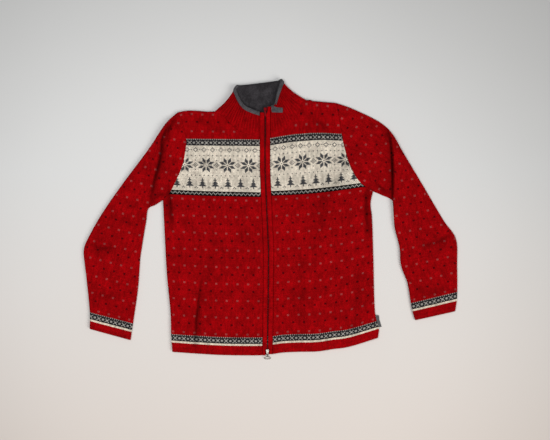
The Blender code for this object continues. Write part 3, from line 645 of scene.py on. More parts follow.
def sleeve_grids(side, front):
    """Outer and inner rings of a sleeve, their knit coordinates and the shade painted into their creases,
    from the armhole to the cuff.
    """
    upper = front[FIRST_ARMHOLE_ROW:, 0, :2][::-1]
    middle = len(upper) - 2 * len(ROUND)
    angles = np.array([*ROUND, *[90.0] * middle, *ROUND[::-1]])
    edges = smooth_line(SLEEVE[side])
    reach = np.linalg.norm(upper - upper[0], axis=1)
    spread = np.clip((reach - SIDE_ROUND) / (reach[-1] - 2 * SIDE_ROUND), 0.0, 1.0)
    first = np.arange(len(upper)) < len(upper) / 2
    shares = np.array([*np.linspace(0.0, CUFF_SHARES[0], SLEEVE_SECTIONS), *CUFF_SHARES[1:]])
    starts, ends = np.split(read_off(shares, np.linspace(0, 1, len(edges)), edges), 2, axis=1)
    widths = np.linalg.norm(ends - starts, axis=1)[:, None]
    across = unit(ends - starts)[:, None, :]
    inset = fold_inset(angles, False)[None, :]
    inset = np.where(angles == 90.0, SIDE_ROUND + spread * (widths - 2 * SIDE_ROUND),
                     np.where(first, inset, widths - inset))
    places = starts[:, None, :] + across * inset[..., None]
    bows = upper + (OUTWARD[side] * SEAM, 0.0) - places[0]
    fade = np.maximum(0.0, 1 - shares / ARMHOLE_FADE)[:, None, None] ** 2
    places = places + bows * fade
    step = np.where(shares >= CUFF_SHARES[1], TURNED_STEP, 0.0)[:, None]
    cosine = np.where(angles == 90.0, 0.0, np.cos(np.radians(angles)) * np.where(first, 1, -1))
    inward = places + across * CLOTH * cosine[None, :, None]
    sine = np.sin(np.radians(angles))[None, :]
    rings = []
    for plan, inner in ((places, False), (inward, True)):
        x, y = plan[..., 0], plan[..., 1]
        top = top_height(x, y)
        face = under_height(x, y, top) if inner else top + step * sine
        over = joined(x, y, turned(face, x, y, sine, SEAM))
        under = joined(x, y, turned(CLOTH * inner, x, y, sine, -SEAM))
        rings.append(np.concatenate([over, under[:, ::-1]], axis=1))
    flat = np.concatenate([places, (2 * places[:, :1] - places)[:, ::-1]], axis=1)
    # Painted shade in the creases of the upper layer, and none on the layer beneath
    shade = painted_crease_shade(places[..., 0], places[..., 1]) * sine
    shade = np.concatenate([shade, 0 * shade], axis=1)
    return rings[0], rings[1], grain(flat, *SLEEVE_GRAIN[side]), shade


def turn_inner_part(corners, faces, outer):
    """Turns the knit of the left sleeve's upper layer between the armhole and the large fold."""
    rows, columns = outer.shape[:2]
    place = faces % (rows * columns)
    plan = outer.reshape(-1, 3)[place][..., :2]
    x, y = plan.mean(axis=1).T
    line = smooth_line(SLEEVE_FOLD, 5)
    by_armhole = x < x_at(line, np.clip(y, line[-1, 1], line[0, 1])) + 1.0
    inside = by_armhole & ((place % columns).max(axis=1) < columns // 2)
    corners[inside] = grain(plan[inside], *INNER_GRAIN) + (0.0, INNER_ROW)


def new_mesh(name, points, faces, knit=None):
    """A smooth mesh object from points in mm, quads, and knit coordinates for each face corner."""
    mesh = bpy.data.meshes.new(name)
    mesh.from_pydata((points * 0.001).tolist(), [], [tuple(f) for f in faces])
    if knit is not None:
        mesh.uv_layers.new(name="Knit").data.foreach_set("uv", np.asarray(knit, np.float32).ravel())
    mesh.shade_smooth()
    thing = bpy.data.objects.new(name, mesh)
    bpy.context.scene.collection.objects.link(thing)
    return thing


def grid_quads(rows, columns, start, closed=False):
    """Quads of a grid of points, stored row by row from a starting index."""
    i, j = np.ogrid[: rows - 1, : columns if closed else columns - 1]
    low, high = i * columns, (i + 1) * columns
    k = (j + 1) % columns
    return start + joined(low + j, low + k, high + k, high + j).reshape(-1, 4)


def shell(name, outer, inner, knit, shade=None, closed=False, turn_knit=None):
    """A wall of cloth between an outer and an inner grid of points, with any shade painted into its
    creases and rib valleys kept on its points.
    """
    rows, columns = outer.shape[:2]
    count = rows * columns
    over = grid_quads(rows, columns, 0, closed)
    under = grid_quads(rows, columns, count, closed)[:, ::-1]
    ends = [np.arange(columns), (rows - 1) * columns + np.arange(columns)]
    rims = []
    if closed:
        loops = [np.append(end, end[0]) for end in ends]
    else:
        sides = [np.arange(rows) * columns, np.arange(rows) * columns + columns - 1]
        loops = [np.concatenate([ends[0], sides[1][1:], ends[1][::-1][1:], sides[0][::-1][1:]])]
    for number, loop in enumerate(loops):
        a, b = loop[:-1], loop[1:]
        rim = np.stack([b, a, a + count, b + count], axis=1)
        rims.append(rim[:, ::-1] if closed and number else rim)
    faces = np.vstack([over, under, *rims])
    points = np.vstack([outer.reshape(-1, 3), inner.reshape(-1, 3)])
    corners = np.vstack([knit.reshape(-1, 2)] * 2)[faces]
    if turn_knit is not None:
        turn_knit(corners, faces, outer)
    thing = new_mesh(name, points, faces, corners)
    if shade is not None:
        # Painted shade: how far the colour is darkened in creases and rib valleys
        crease = thing.data.attributes.new("PaintedShade", "FLOAT", "POINT")
        crease.data.foreach_set("value", np.append(shade, 0 * shade).astype(np.float32))
    return turned_outward(thing)


def turned_outward(thing):
    """The piece with all its faces turned outward."""
    bm = bmesh.new()
    bm.from_mesh(thing.data)
    bmesh.ops.recalc_face_normals(bm, faces=bm.faces)
    bm.to_mesh(thing.data)
    bm.free()
    return thing


def loft(name, sections, knit):
    """A solid through closed sections of points, with its knit coordinates."""
    rows, columns = sections.shape[:2]
    faces = grid_quads(rows, columns, 0, closed=True).tolist()
    faces.append(range(columns)[::-1])
    faces.append(range((rows - 1) * columns, rows * columns))
    wrapped = np.concatenate([knit, 2 * knit[:, -1:] - knit[:, -2:-1]], axis=1)
    low, high = wrapped[:-1], wrapped[1:]
    corners = np.stack([low[:, :-1], low[:, 1:], high[:, 1:], high[:, :-1]], axis=2).reshape(-1, 2)
    corners = np.vstack([corners, knit[0][::-1], knit[-1]])
    return turned_outward(new_mesh(name, sections.reshape(-1, 3), faces, corners))


def collar_front_run(side, front):
    """The collar's front part, from the band to the side fold: base, top and outward direction."""
    edge = front[front[:, -1, 1] >= NECKLINE[side][0][1] - 0.5, -1]
    edge = edge[: 1 - len(ROUND)]
    shares = np.linspace(0.0, 1.0, RUN_PLACES)
    run = along(edge, np.minimum(1, shares + 0.02)) - along(edge, np.maximum(0, shares - 0.02))
    run = unit(run[:, :2])
    away = joined(run[:, 1], -run[:, 0], 0.0) * -OUTWARD[side]
    base = along(edge, shares) + away * COLLAR_GAP
    fold_top = BACK_RIM_HEIGHT + float(plain_height(*NECKLINE[side][-1]))
    swell = np.sin(math.pi * shares) * (TOP_MOUTH_HEIGHT - TOP_ZIP_HEIGHT)
    height = (1 - shares) * TOP_ZIP_HEIGHT + shares * fold_top + swell
    top = np.column_stack([along(MOUTH_LINE[side], shares), height])
    up = np.tile((0.0, 0.0, 1.0), (len(shares), 1))
    return np.hstack([base, top, up])


def collar_curl(side, last):
    """The side fold of the collar, from its top round to the table, and how far it is drawn in."""
    out = OUTWARD[side]
    radius = float(plain_height(*NECKLINE[side][-1])) / 2
    neck_x, neck_y = NECKLINE[side][-1]
    run = unit(last[3:5] - last[0:2])
    top_out = np.array((run[1], -run[0], 0.0))
    top_out = top_out * math.copysign(1.0, top_out[0] * out)
    angles = np.linspace(math.pi / 2, -math.pi / 2, CURL_PLACES)[:, None]
    sine, cosine = np.sin(angles), np.cos(angles)
    base_normal = cosine * (0.0, 1.0, 0.0) + sine * (0.0, 0.0, 1.0)
    top_normal = cosine * top_out + sine * (0.0, 0.0, 1.0)
    rounded = np.where(angles > 0, SIDE_ROUND * (1 - cosine), 0.0)
    base_y = neck_y + COLLAR_GAP - rounded
    base = np.hstack([neck_x - out * COLLAR_GAP + 0 * sine, base_y, radius * (1 + sine)])
    centre = (1 - sine) / 2 * (*TOP_TURN[side], 0.0) + (last[3], last[4], BACK_RIM_HEIGHT + radius)
    curl = np.hstack([base, centre + top_normal * radius, unit(base_normal + top_normal)])
    return curl, -top_out * SIDE_DRAW[side]


def collar_path(fronts):
    """The collar from zip to zip: at each place its base, its top, the outward direction, and how far
    its middle is drawn in."""
    parts = {}
    for side in OUTWARD:
        run = collar_front_run(side, fronts[side])
        curl, draw = collar_curl(side, run[-1])
        grow = np.append(np.linspace(0, 1, len(run)) ** 4, np.ones(len(curl)))
        parts[side] = np.hstack([np.vstack([run, curl]), grow[:, None] * draw])
    a, b = parts["right"][-1], parts["left"][-1]
    shares = 0.5 - 0.5 * np.cos(math.pi * np.linspace(0, 1, BACK_PLACES)[1:-1, None])
    x = a[0] + (b[0] - a[0]) * shares
    base = np.hstack([x, y_at(BACK_NECK_LINE, x) + COLLAR_GAP, 0 * x])
    top = a[3:6] + (b[3:6] - a[3:6]) * shares
    top[:, 1] += BACK_RIM_BOW * np.sin(math.pi * shares[:, 0])
    down = np.tile((0.0, 0.0, -1.0), (len(x), 1))
    fades = [np.clip(1 - np.abs(x - end[0]) / BACK_FADE, 0, 1) ** 2 for end in (a, b)]
    draw = fades[0] * a[9:] + fades[1] * b[9:]
    return np.vstack([parts["right"], np.hstack([base, top, down, draw]), parts["left"][::-1]])


def even_path(path, pitch):
    """The collar's path at even steps along its middle, and the distance to each place."""
    lengths = lengths_of((path[:, 0:3] + path[:, 3:6]) / 2)
    at = np.linspace(0.0, lengths[-1], max(2, round(lengths[-1] / pitch)) + 1)
    even = read_off(at, lengths, path)
    even[:, 6:9] = unit(even[:, 6:9])
    return even, at


def collar_points(place, up, depth):
    """Points of the collar: mm up from the base, and mm inward."""
    base, top, outward, draw = np.split(place, 4, axis=-1)
    share = up / collar_length(place)[..., None]
    return base + (top - base) * share - outward * depth + draw * np.sin(math.pi * np.clip(share, 0, 1))


def collar_length(place):
    """Height of the collar at each place, in mm."""
    return np.linalg.norm(place[..., 3:6] - place[..., 0:3], axis=-1)


def bulge(place, share):
    """How the collar's front swells between its seam and its top edge."""
    return FRONT_SWELL * np.clip(place[..., 8:9], 0, 1) * np.sin(math.pi * share)


def collar_grids(path):
    """Outer points with raised ribs, inner points, knit coordinates of the collar, and the shade painted
    into its rib valleys.
    """
    even, at = even_path(path, RIB_PITCH / 8)
    ribs = round(at[-1] / RIB_PITCH)
    wave = np.cos(2 * math.pi * ribs * at / at[-1])
    profile = np.clip(0.5 + 0.6 * wave, 0, 1)[:, None, None]
    share = np.linspace(0, 1, COLLAR_ROWS)[None, :, None]
    place = even[:, None, :] + 0 * share
    up = collar_length(place)[..., None] * share
    free = np.clip(place[..., 8:9] + 1.0, 0.0, 1.0)
    on_seam = free * (share == 0)
    lift = RIB_HEIGHT * profile * free * np.minimum(1.0, 0.35 + 6 * share) + bulge(place, share)
    outer = collar_points(place, up - SEAM_LAP * on_seam, -lift - 0.35 * on_seam)
    inner = collar_points(place, up, CLOTH - bulge(place, share))
    knit = joined(at[:, None] / STITCH * RIB_STITCHES, up[..., 0] / ROW)
    # Painted shade in the rib valleys, which fades out towards the seam
    return outer, inner, knit, RIB_VALLEY_PAINTED_SHADE * (1 - profile[..., 0]) * np.minimum(1.0, 3 * share[..., 0])


def facing_sections(path):
    """Sections of the grey facing: up the inside, over the top edge and down the outside."""
    even, at = even_path(path, FACING_PITCH)
    near, far = CLOTH + FACING_GAP, CLOTH + FACING_GAP + FACING
    over = RIB_HEIGHT + RIM_CLEARANCE * 0.4
    length = collar_length(even)
    on_corner = (even[:, 8] > 0.9) & (even[:, 0] > MIDDLE_X) & (even[:, 4] < CORNER_Y[1] + 12)
    fold = np.where(on_corner, 0.6, RIM_FOLD)
    sections, knits = [], []
    for place, up, down, distance in zip(even, length, fold, at):
        low = -BACK_DROP * max(0.0, -place[8])
        profile = np.array([
            (low, near), (0.25 * up, near), (0.5 * up, near), (0.75 * up, near), (up + 0.4, near - 0.2),
            (up + 0.9, 0.5 * near), (up + 0.7, -0.5 * over), (up - 0.2 * down, -over),
            (up - 0.6 * down, -over), (up - down, -over), (up - down - 0.4, -over - 0.5 * FACING),
            (up - down, -over - 0.9 * FACING), (up - 0.6 * down, -over - 1.25 * FACING),
            (up - 0.15 * down, -over - 1.2 * FACING), (up + 1.9, -over - 0.6 * FACING), (up + 2.9, 0.2),
            (up + 2.6, near), (up + 1.0, far - 0.2), (0.75 * up, far), (0.5 * up, far), (0.25 * up, far),
            (low, far),
        ])
        depth = profile[:, 1:] - bulge(place, np.clip(profile[:, :1] / up, 0, 1))
        sections.append(collar_points(place[None, :], profile[:, :1], depth))
        knits.append(joined(distance / FINE_STITCH, lengths_of(profile) / FINE_ROW))
    return np.array(sections), np.array(knits)


def corner_grids(path):
    """The turned-out corner of the facing, which lies on the left front of the collar by the zip."""
    run = path[(path[:, 8] > 0.99) & (path[:, 0] > MIDDLE_X)]
    heights = np.linspace(0, 1, 25)[None, :, None]
    surface = run[:, None, 0:3] + (run[:, None, 3:6] - run[:, None, 0:3]) * heights
    surface[..., 2:] += bulge(run[:, None, :], heights)
    surface = surface.reshape(-1, 3)
    u, v = np.meshgrid(np.linspace(-1, 1, 31), np.linspace(-1, 1, 19), indexing="xy")
    x = sum(CORNER_X) / 2 + u * (CORNER_X[1] - CORNER_X[0]) / 2 * (1 - 0.05 * v**2)
    y = sum(CORNER_Y) / 2 + v * (CORNER_Y[1] - CORNER_Y[0]) / 2 * (1 - 0.04 * u**2) - 0.6 * u
    y = y + 2.4 * np.clip(-u, 0, 1) * (v + 1) + 1.2 * (1 - v)
    away = surface[None, :, :2] - joined(x, y).reshape(-1, 1, 2)
    near = np.argmin(np.hypot(away[..., 0], away[..., 1]), axis=1)
    under = surface[near, 2].reshape(x.shape)
    under = (under + np.roll(under, 1, 0) + np.roll(under, 1, 1)) / 3 + RIB_HEIGHT + 0.5
    edge = np.maximum(np.abs(u), np.abs(v))
    crown = 1.3 * np.sqrt(np.clip(1 - edge**6, 0, 1))
    middle = under + 0.5 * FACING
    knit = joined(x / FINE_STITCH, y / FINE_ROW)
    return joined(x, y, middle + crown), joined(x, y, middle - 0.7 * crown), knit


def band_line(side, front, path):
    """Points of a band's outer edge: up the front's inner edge, then up the collar's zip edge."""
    start = front[front[:, -1, 1] < NECKLINE[side][0][1] + 0.5, -1]
    place = path[0] if side == "right" else path[-1]
    line = np.vstack([start, place[0:3] + (place[3:6] - place[0:3]) * np.linspace(0, 1, 15)[1:, None]])
    return along(line, np.linspace(0, 1, BAND_SECTIONS))


def band_gap(side, y):
    """Half of the gap between the bands at y: it opens round the two sliders."""
    low = np.clip((BOTTOM_SLIDER_Y + 9 - y) / 4, 0, 1)
    high = np.clip((y - TOP_SLIDER_Y + 9) / 4, 0, 1) if side == "left" else 0.0
    return BAND_GAP + (SLIDER_GAP - BAND_GAP) * np.maximum(low, high)


def band_sections(side, line):
    """Sections of a front band, a flat tube of plain knit with rounded edges."""
    out = OUTWARD[side]
    x, y, z = line.T
    far = x - out * SEAM
    near = x - out * (BAND + BAND_GAP - band_gap(side, y))
    points = [joined(far + (near - far) * t, y, z + CLOTH * drop + BAND_RAISE * rise)
              for t, drop, rise in BAND_PROFILE]
    across = np.linspace(0, BAND * 1.3 / STITCH, len(points))
    return np.stack(points, axis=1), joined(across, lengths_of(line)[:, None] / ROW)


def tape_sections(side, line):
    """Sections of a zip tape, which lies under its band."""
    out = OUTWARD[side]
    x, y, z = line.T
    near = x - out * (BAND + BAND_GAP - band_gap(side, y) - SEAM - 0.5)
    far = x - out * 2.0
    high = z - CLOTH - SEAM
    corners = ((far, high - TAPE), (far, high), (near, high), (near, high - TAPE))
    sections = np.stack([joined(a, y, b) for a, b in corners], axis=1)
    return sections, joined((0.0, 0.0, BAND, BAND), lengths_of(line)[:, None])


def zip_teeth(lines):
    """The closed chain: two rows of moulded teeth that lie one between the other."""
    low = BOTTOM_SLIDER_Y + SLIDER_LENGTH / 2 + SEAM + 0.6
    high = TOP_SLIDER_Y - SLIDER_LENGTH / 2 - SEAM - 0.4
    y = np.arange(low, high, TOOTH_PITCH / 2)
    middle = sum(read_off(y, line[:, 1], line) for line in lines.values()) / 2 - (0.0, 0.0, TOOTH_DROP)
    # The last tooth lies past the end of the lines, where they can't give its y
    middle[:, 1] = y
    points, faces = [], []
    for number, place in enumerate(middle):
        side = -1 if number % 2 else 1
        points.append(TOOTH * (side, 1, 1) + place)
        faces.append(TOOTH_FACES[:, ::side] + len(TOOTH) * number)
    return new_mesh("zip_chain_teeth", np.vstack(points), np.vstack(faces))


def rgb(red, green, blue):
    """A display colour from 0 to 255 as a linear colour."""
    parts = [c / 255 for c in (red, green, blue)]
    return (*[p / 12.92 if p <= 0.04045 else ((p + 0.055) / 1.055) ** 2.4 for p in parts], 1.0)


def darker(colour, share):
    """A share of a colour's light."""
    return (*[c * share for c in colour[:3]], 1.0)


RED = rgb(160, 2, 8)
RED_DARK = rgb(92, 2, 8)
ECRU = rgb(232, 221, 203)
ECRU_DARK = rgb(150, 120, 112)
CREAM = rgb(232, 218, 196)
CHARCOAL = rgb(40, 39, 42)
BLACK = rgb(16, 14, 15)
LIGHT_GREY = rgb(162, 158, 151)
ZIGZAG_GREY = rgb(168, 165, 158)
LICE = rgb(160, 62, 62)
MOTIF = rgb(74, 74, 76)
# One grey cloth in two copies: painted shade darkens it inside the collar, painted light lightens it on the
# roll and the corner
FACING_GREY_PAINTED_SHADE = rgb(64, 61, 64)
ROLL_GREY_PAINTED_LIGHT = rgb(92, 90, 93)


class Graph:
    """Short calls that add and join the nodes of one material."""

    def __init__(self, name):
        self.material = bpy.data.materials.new(name)
        self.material.use_nodes = True
        self.tree = self.material.node_tree
        self.shader = self.tree.nodes["Principled BSDF"]
        self.place = self.add("ShaderNodeTexCoord", [], "Object")

    def put(self, value, socket):
        if isinstance(value, bpy.types.NodeSocket):
            self.tree.links.new(value, socket)
        else:
            socket.default_value = value

    def add(self, kind, inputs, output=0, **settings):
        """Adds a node and gives back one of its outputs."""
        node = self.tree.nodes.new(kind)
        for key, value in settings.items():
            setattr(node, key, value)
        for key, value in inputs:
            self.put(value, node.inputs[key])
        return node.outputs[output]

    def finish(self, colour, roughness, **others):
        """The material, with its colour, roughness and other inputs of the shader."""
        inputs = {"Base Color": colour, "Roughness": roughness, **others}
        for name, value in inputs.items():
            self.put(value, self.shader.inputs[name.replace("_", " ")])
        return self.material

    def math(self, operation, *values):
        return self.add("ShaderNodeMath", enumerate(values), operation=operation)

    def product(self, first, *others):
        for value in others:
            first = self.math("MULTIPLY", first, value)
        return first

    def mix(self, factor, a, b, blend="MIX"):
        inputs = [(0, factor), (6, a), (7, b)]
        return self.add("ShaderNodeMix", inputs, 2, data_type="RGBA", blend_type=blend)

    def shaded(self, colour, shade):
        """A colour times a number."""
        grey = self.add("ShaderNodeCombineColor", [(0, shade), (1, shade), (2, shade)])
        return self.mix(1.0, colour, grey, "MULTIPLY")

    def between(self, value, low, high):
        """1 where low <= value < high."""
        above = self.math("GREATER_THAN", value, low - 0.5)
        return self.product(above, self.math("LESS_THAN", value, high - 0.5))

    def noise(self, vector, scale, detail=2.0):
        inputs = [("Vector", vector), ("Scale", scale), ("Detail", detail)]
        return self.add("ShaderNodeTexNoise", inputs)

    def spread(self, value, low, high, from_low=0.3, from_high=0.7, kind="LINEAR"):
        inputs = [(0, value), (1, from_low), (2, from_high), (3, low), (4, high)]
        return self.add("ShaderNodeMapRange", inputs, interpolation_type=kind)

    def bump(self, height, strength, distance=0.0002):
        inputs = [("Height", height), ("Strength", strength), ("Distance", distance)]
        return self.add("ShaderNodeBump", inputs)


class Knit(Graph):
    """A knit's whole stitch and row numbers, the relief of its stitches' two legs, and a number from 0
    to 1 for each stitch and for each row."""

    def __init__(self, name):
        super().__init__(name)
        self.uv = self.add("ShaderNodeUVMap", [], uv_map="Knit")
        u = self.add("ShaderNodeSeparateXYZ", [(0, self.uv)])
        aside = self.math("ABSOLUTE", self.math("SUBTRACT", self.math("FRACT", u), 0.5))
        leaned = self.math("SUBTRACT", u.node.outputs[1], self.product(aside, 2 * LEG_SLANT))
        self.column = self.math("FLOOR", u)
        self.row = self.math("FLOOR", leaned)
        leg = self.math("SINE", self.product(self.math("FRACT", self.product(u, 2.0)), math.pi))
        loop = self.math("SINE", self.product(self.math("FRACT", leaned), math.pi))
        swell = self.math("ADD", 0.35, self.product(loop, 0.65))
        self.relief = self.product(self.math("POWER", leg, 0.6), swell)
        cell = self.add("ShaderNodeCombineXYZ", [(0, self.column), (1, self.row)])
        self.random = self.add("ShaderNodeTexWhiteNoise", [("Vector", cell)], noise_dimensions="2D")
        self.tension = self.add("ShaderNodeTexWhiteNoise", [("W", self.row)], noise_dimensions="1D")

    def rows(self, low, high):
        """1 on the rows from low up to high."""
        return self.between(self.row, low, high)


def chart(g, start, rows, mirrored=False):
    """1 where a repeating chart has an "x". Eight stitches of a row are one number in a ramp."""
    width = len(rows[0])
    if mirrored:
        turned_back = g.math("FLOORED_MODULO", g.column, float(2 * (width - 1)))
        place = g.math("ABSOLUTE", g.math("SUBTRACT", turned_back, float(width - 1)))
    else:
        place = g.math("FLOORED_MODULO", g.column, float(width))
    height = g.math("DIVIDE", g.math("ADD", g.row, 0.5 - start), float(len(rows)))
    code = g.add("ShaderNodeValToRGB", [(0, height)])
    stops = code.node.color_ramp
    stops.interpolation = "CONSTANT"
    for number, text in enumerate(reversed(rows)):
        stop = stops.elements[0] if number == 0 else stops.elements.new(number / len(rows))
        eights = [text[8 * c : 8 * c + 8] for c in range(3)]
        codes = [sum(1 << k for k, mark in enumerate(eight) if mark == "x") for eight in eights]
        stop.color = (*[value / 256 for value in codes], 1.0)
    stops.elements.remove(stops.elements[len(rows)])
    code = g.add("ShaderNodeSeparateColor", [(0, code)])
    if width > 8:
        later = g.math("GREATER_THAN", place, 7.5)
        first = g.product(code, g.math("SUBTRACT", 1.0, later))
        code = g.math("ADD", first, g.product(code.node.outputs[1], later))
        place = g.math("SUBTRACT", place, g.product(later, 8.0))
    code = g.math("ADD", g.product(code, 256.0), 0.5)
    digit = g.math("FLOOR", g.math("DIVIDE", code, g.math("POWER", 2.0, place)))
    return g.product(g.math("FLOORED_MODULO", digit, 2.0), g.rows(start, start + len(rows)))


def lice(g, first_column, first_row):
    """1 on the small dots that are spread over the plain red."""
    marks = []
    for number, first, pitch in zip((g.column, g.row), (first_column, first_row), LICE_PITCH):
        place = g.math("FLOORED_MODULO", g.math("SUBTRACT", number, float(first)), pitch)
        marks.append(g.between(place, 0, LICE_SIZE))
    return g.product(*marks)


def finish_knit(g, colour, depth, mottle=0.16):
    """Yarn variation, painted shade in the gaps between stitches and in creases and rib valleys, matt fibre
    and relief for a knit's colour. Uneven yarn shows as short streaks along the stitch columns."""
    drawn_out = g.add("ShaderNodeVectorMath", [(0, g.uv), (1, (0.42, 0.13, 1.0))], operation="MULTIPLY")
    crease = g.add("ShaderNodeAttribute", [], "Fac", attribute_name="PaintedShade")
    shade = g.product(
        g.spread(g.noise(g.place, 38.0, 3.0), 1 - mottle, 1 + mottle),
        g.spread(g.noise(g.place, 900.0), 0.9, 1.1),
        g.spread(g.random, 0.84, 1.14, 0.0, 1.0),
        g.spread(g.tension, 0.93, 1.05, 0.0, 1.0),
        g.spread(g.noise(drawn_out, 1.0), 0.78, 1.2),
        # Painted shade: the gaps between the stitches' legs are darker in colour
        g.spread(g.relief, 0.42, 1.08, 0.0, 0.75),
        # Painted shade in the creases and rib valleys, read from the mesh
        g.spread(crease, 1.0, 0.12, 0.0, 1.0),
    )
    soft = g.product(g.noise(g.place, 90.0, 3.0), 0.6)
    fuzz = g.product(g.noise(g.place, 1400.0), 0.12)
    height = g.math("ADD", g.math("ADD", g.relief, soft), fuzz)
    bump = g.bump(height, 0.75, depth)
    return g.finish(g.shaded(colour, shade), 0.92, Normal=bump, Specular_IOR_Level=0.04)


def paint_border(g, colour, start):
    """A charcoal border of light crosses and rings."""
    colour = g.mix(g.rows(start, start + len(BORDER)), colour, CHARCOAL)
    return g.mix(chart(g, start, BORDER), colour, LIGHT_GREY)


def paint_chest(g, colour):
    """The chest panel: ecru with some darker stitches, rows of motifs, and a border on each side."""
    behind = g.product(g.math("GREATER_THAN", g.random, 0.86), 0.3)
    colour = g.mix(g.rows(*PANEL_ROWS), colour, g.mix(behind, ECRU, ECRU_DARK))
    for start, rows, mirrored in PANEL_CHARTS:
        colour = g.mix(chart(g, start, rows, mirrored), colour, MOTIF)
    colour = g.mix(g.rows(*ZIGZAG_ROWS), colour, BLACK)
    colour = g.mix(chart(g, ZIGZAG_ROWS[0] + 1, ZIGZAG), colour, ZIGZAG_GREY)
    return paint_border(g, colour, PANEL_ROWS[1])


def patterned_knit(name, chest):
    """Red knit with lice dots and a hem border, and on the fronts with the chest panel."""
    g = Knit(name)
    if chest:
        open_red = g.math("ADD", g.rows(LICE_ROWS[0], ZIGZAG_ROWS[0]), g.rows(*YOKE_ROWS))
    else:
        open_red = g.rows(*LICE_ROWS)
    colour = g.mix(g.product(lice(g, *LIGHT_LICE), open_red), RED, LICE)
    colour = g.mix(g.product(lice(g, *DARK_LICE), open_red), colour, RED_DARK)
    colour = g.mix(g.rows(CREAM_ROW, BORDER_ROW), colour, CREAM)
    colour = paint_border(g, colour, BORDER_ROW)
    return finish_knit(g, paint_chest(g, colour) if chest else colour, 0.0011)


def woven_tape(name, colour):
    """Narrow woven tape with a fine twill."""
    g = Graph(name)
    inputs = [("Vector", g.place), ("Scale", 420.0), ("Distortion", 0.4)]
    wave = g.add("ShaderNodeTexWave", inputs, 1, bands_direction="DIAGONAL")
    return g.finish(g.mix(wave, darker(colour, 0.75), colour), 0.8, Normal=g.bump(wave, 0.5))


def worn_metal(name, colour, metallic, roughness, specular=0.5):
    """Metal or paint with fine scratches and slightly uneven gloss."""
    g = Graph(name)
    cloud = g.noise(g.place, 300.0, 4.0)
    shade = g.mix(g.spread(cloud, 0.0, 0.5), colour, darker(colour, 0.6))
    gloss = g.spread(g.noise(g.place, 1500.0), roughness - 0.08, roughness + 0.12)
    return g.finish(shade, gloss, Metallic=metallic, Specular_IOR_Level=specular,
                    Normal=g.bump(cloud, 0.25))


def moulded(name, colour):
    """Moulded plastic with a slightly uneven surface."""
    g = Graph(name)
    cloud = g.noise(g.place, 500.0)
    return g.finish(g.mix(cloud, colour, darker(colour, 0.7)), 0.5, Normal=g.bump(cloud, 0.2))


def floor_paper():
    """Pale paper, warmer towards the hem, with painted shade that darkens it away from the middle."""
    g = Graph("floor_paper")
    paper = g.mix(g.noise(g.place, 3.0), rgb(211, 211, 210), rgb(215, 215, 214))
    north = g.add("ShaderNodeSeparateXYZ", [(0, g.place)], 1)
    paper = g.mix(g.spread(north, 1.0, 0.0, -0.56, 0.12), paper, rgb(214, 205, 198))
    # Painted shade: the paper's colour darkens away from this middle, as if the light fell off
    middle = (-0.1, -0.2, 0.0)
    away = g.add("ShaderNodeVectorMath", [(0, g.place), (1, middle)], 1, operation="DISTANCE")
    return g.finish(g.shaded(paper, g.spread(away, 1.0, 0.68, 0.45, 1.3, "SMOOTHSTEP")), 0.9)


def put_on(thing, node, material):
    """A piece that stands for a node takes its material and rides on the garment."""
    thing.data.materials.append(material)
    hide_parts(node)
    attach(thing, "garment")


def repaint(thing, material):
    """Gives a node of the frame its material and softened edges."""
    for place in thing.material_slots:
        place.material = material
    bevel = thing.modifiers.new("soft_edges", "BEVEL")
    bevel.width = 0.0003
    bevel.segments = 2
    bevel.limit_method = "ANGLE"


def add_to_scene(name, data, location):
    """A new object in the scene."""
    thing = bpy.data.objects.new(name, data)
    thing.location = location
    bpy.context.scene.collection.objects.link(thing)
    return thing


def add_light(name, at, aim, size, power, colour=(1.0, 1.0, 1.0)):
    """A square soft light that points at a place."""
    lamp = bpy.data.lights.new(name, "AREA")
    lamp.size = size
    lamp.energy = power
    lamp.color = colour
    across, deep, drop = np.subtract(aim, at)
    away = math.hypot(across, deep)
    turn = (math.atan2(away, -drop), 0.0, math.atan2(-across, deep))
    add_to_scene(name, lamp, at).rotation_euler = turn


def add_setting():
    """A pale paper floor with painted shade away from its middle, soft studio lights and the camera above.
    """
    mesh = bpy.data.meshes.new("floor")
    corners = [(x * FLOOR_HALF, y * FLOOR_HALF, 0.0) for x, y in ((-1, -1), (1, -1), (1, 1), (-1, 1))]
    mesh.from_pydata(corners, [], [(0, 1, 2, 3)])
    mesh.materials.append(floor_paper())
    add_to_scene("floor", mesh, (0.0, 0.0, -0.0003))

    scene = bpy.context.scene
    scene.world = scene.world or bpy.data.worlds.new("studio")
    scene.world.use_nodes = True
    background = scene.world.node_tree.nodes["Background"]
    background.inputs["Color"].default_value = (0.95, 0.97, 1.0, 1.0)
    background.inputs["Strength"].default_value = 0.23
    add_light("key", (2.1, -1.3, 2.4), (0.0, 0.0, 0.0), 1.9, 73.0, (1.0, 0.98, 0.95))
    add_light("overhead", (-0.5, 0.0, 1.9), (-0.5, 0.0, 0.0), 1.0, 22.0)

    scene.view_settings.view_transform = "Standard"
    camera = bpy.data.cameras.new("camera")
    camera.lens = 50.0
    camera.sensor_width = 36.0
    scene.camera = add_to_scene("camera", camera, CAMERA_AT)


def add_body():
    """The back, the fronts and the sleeves. Gives back the outer points of the fronts."""
    fronts_material = patterned_knit("red_knit_front", True)
    sleeves_material = patterned_knit("red_knit_all_over", False)
    fronts = {}
    for side in OUTWARD:
        outer, inner, knit, shade = front_grids(side)
        fronts[side] = outer
        thing = shell(f"front_{side}_cloth", outer, inner, knit, shade)
        put_on(thing, f"front_{side}", fronts_material)

    thing = shell("back_cloth", *back_grids())
    put_on(thing, "back", sleeves_material)

    for side in OUTWARD:
        grids = sleeve_grids(side, fronts[side])
        turn_knit = turn_inner_part if side == "left" else None
        thing = shell(f"sleeve_{side}_cloth", *grids, closed=True, turn_knit=turn_knit)
        put_on(thing, f"sleeve_{side}", sleeves_material)
    return fronts


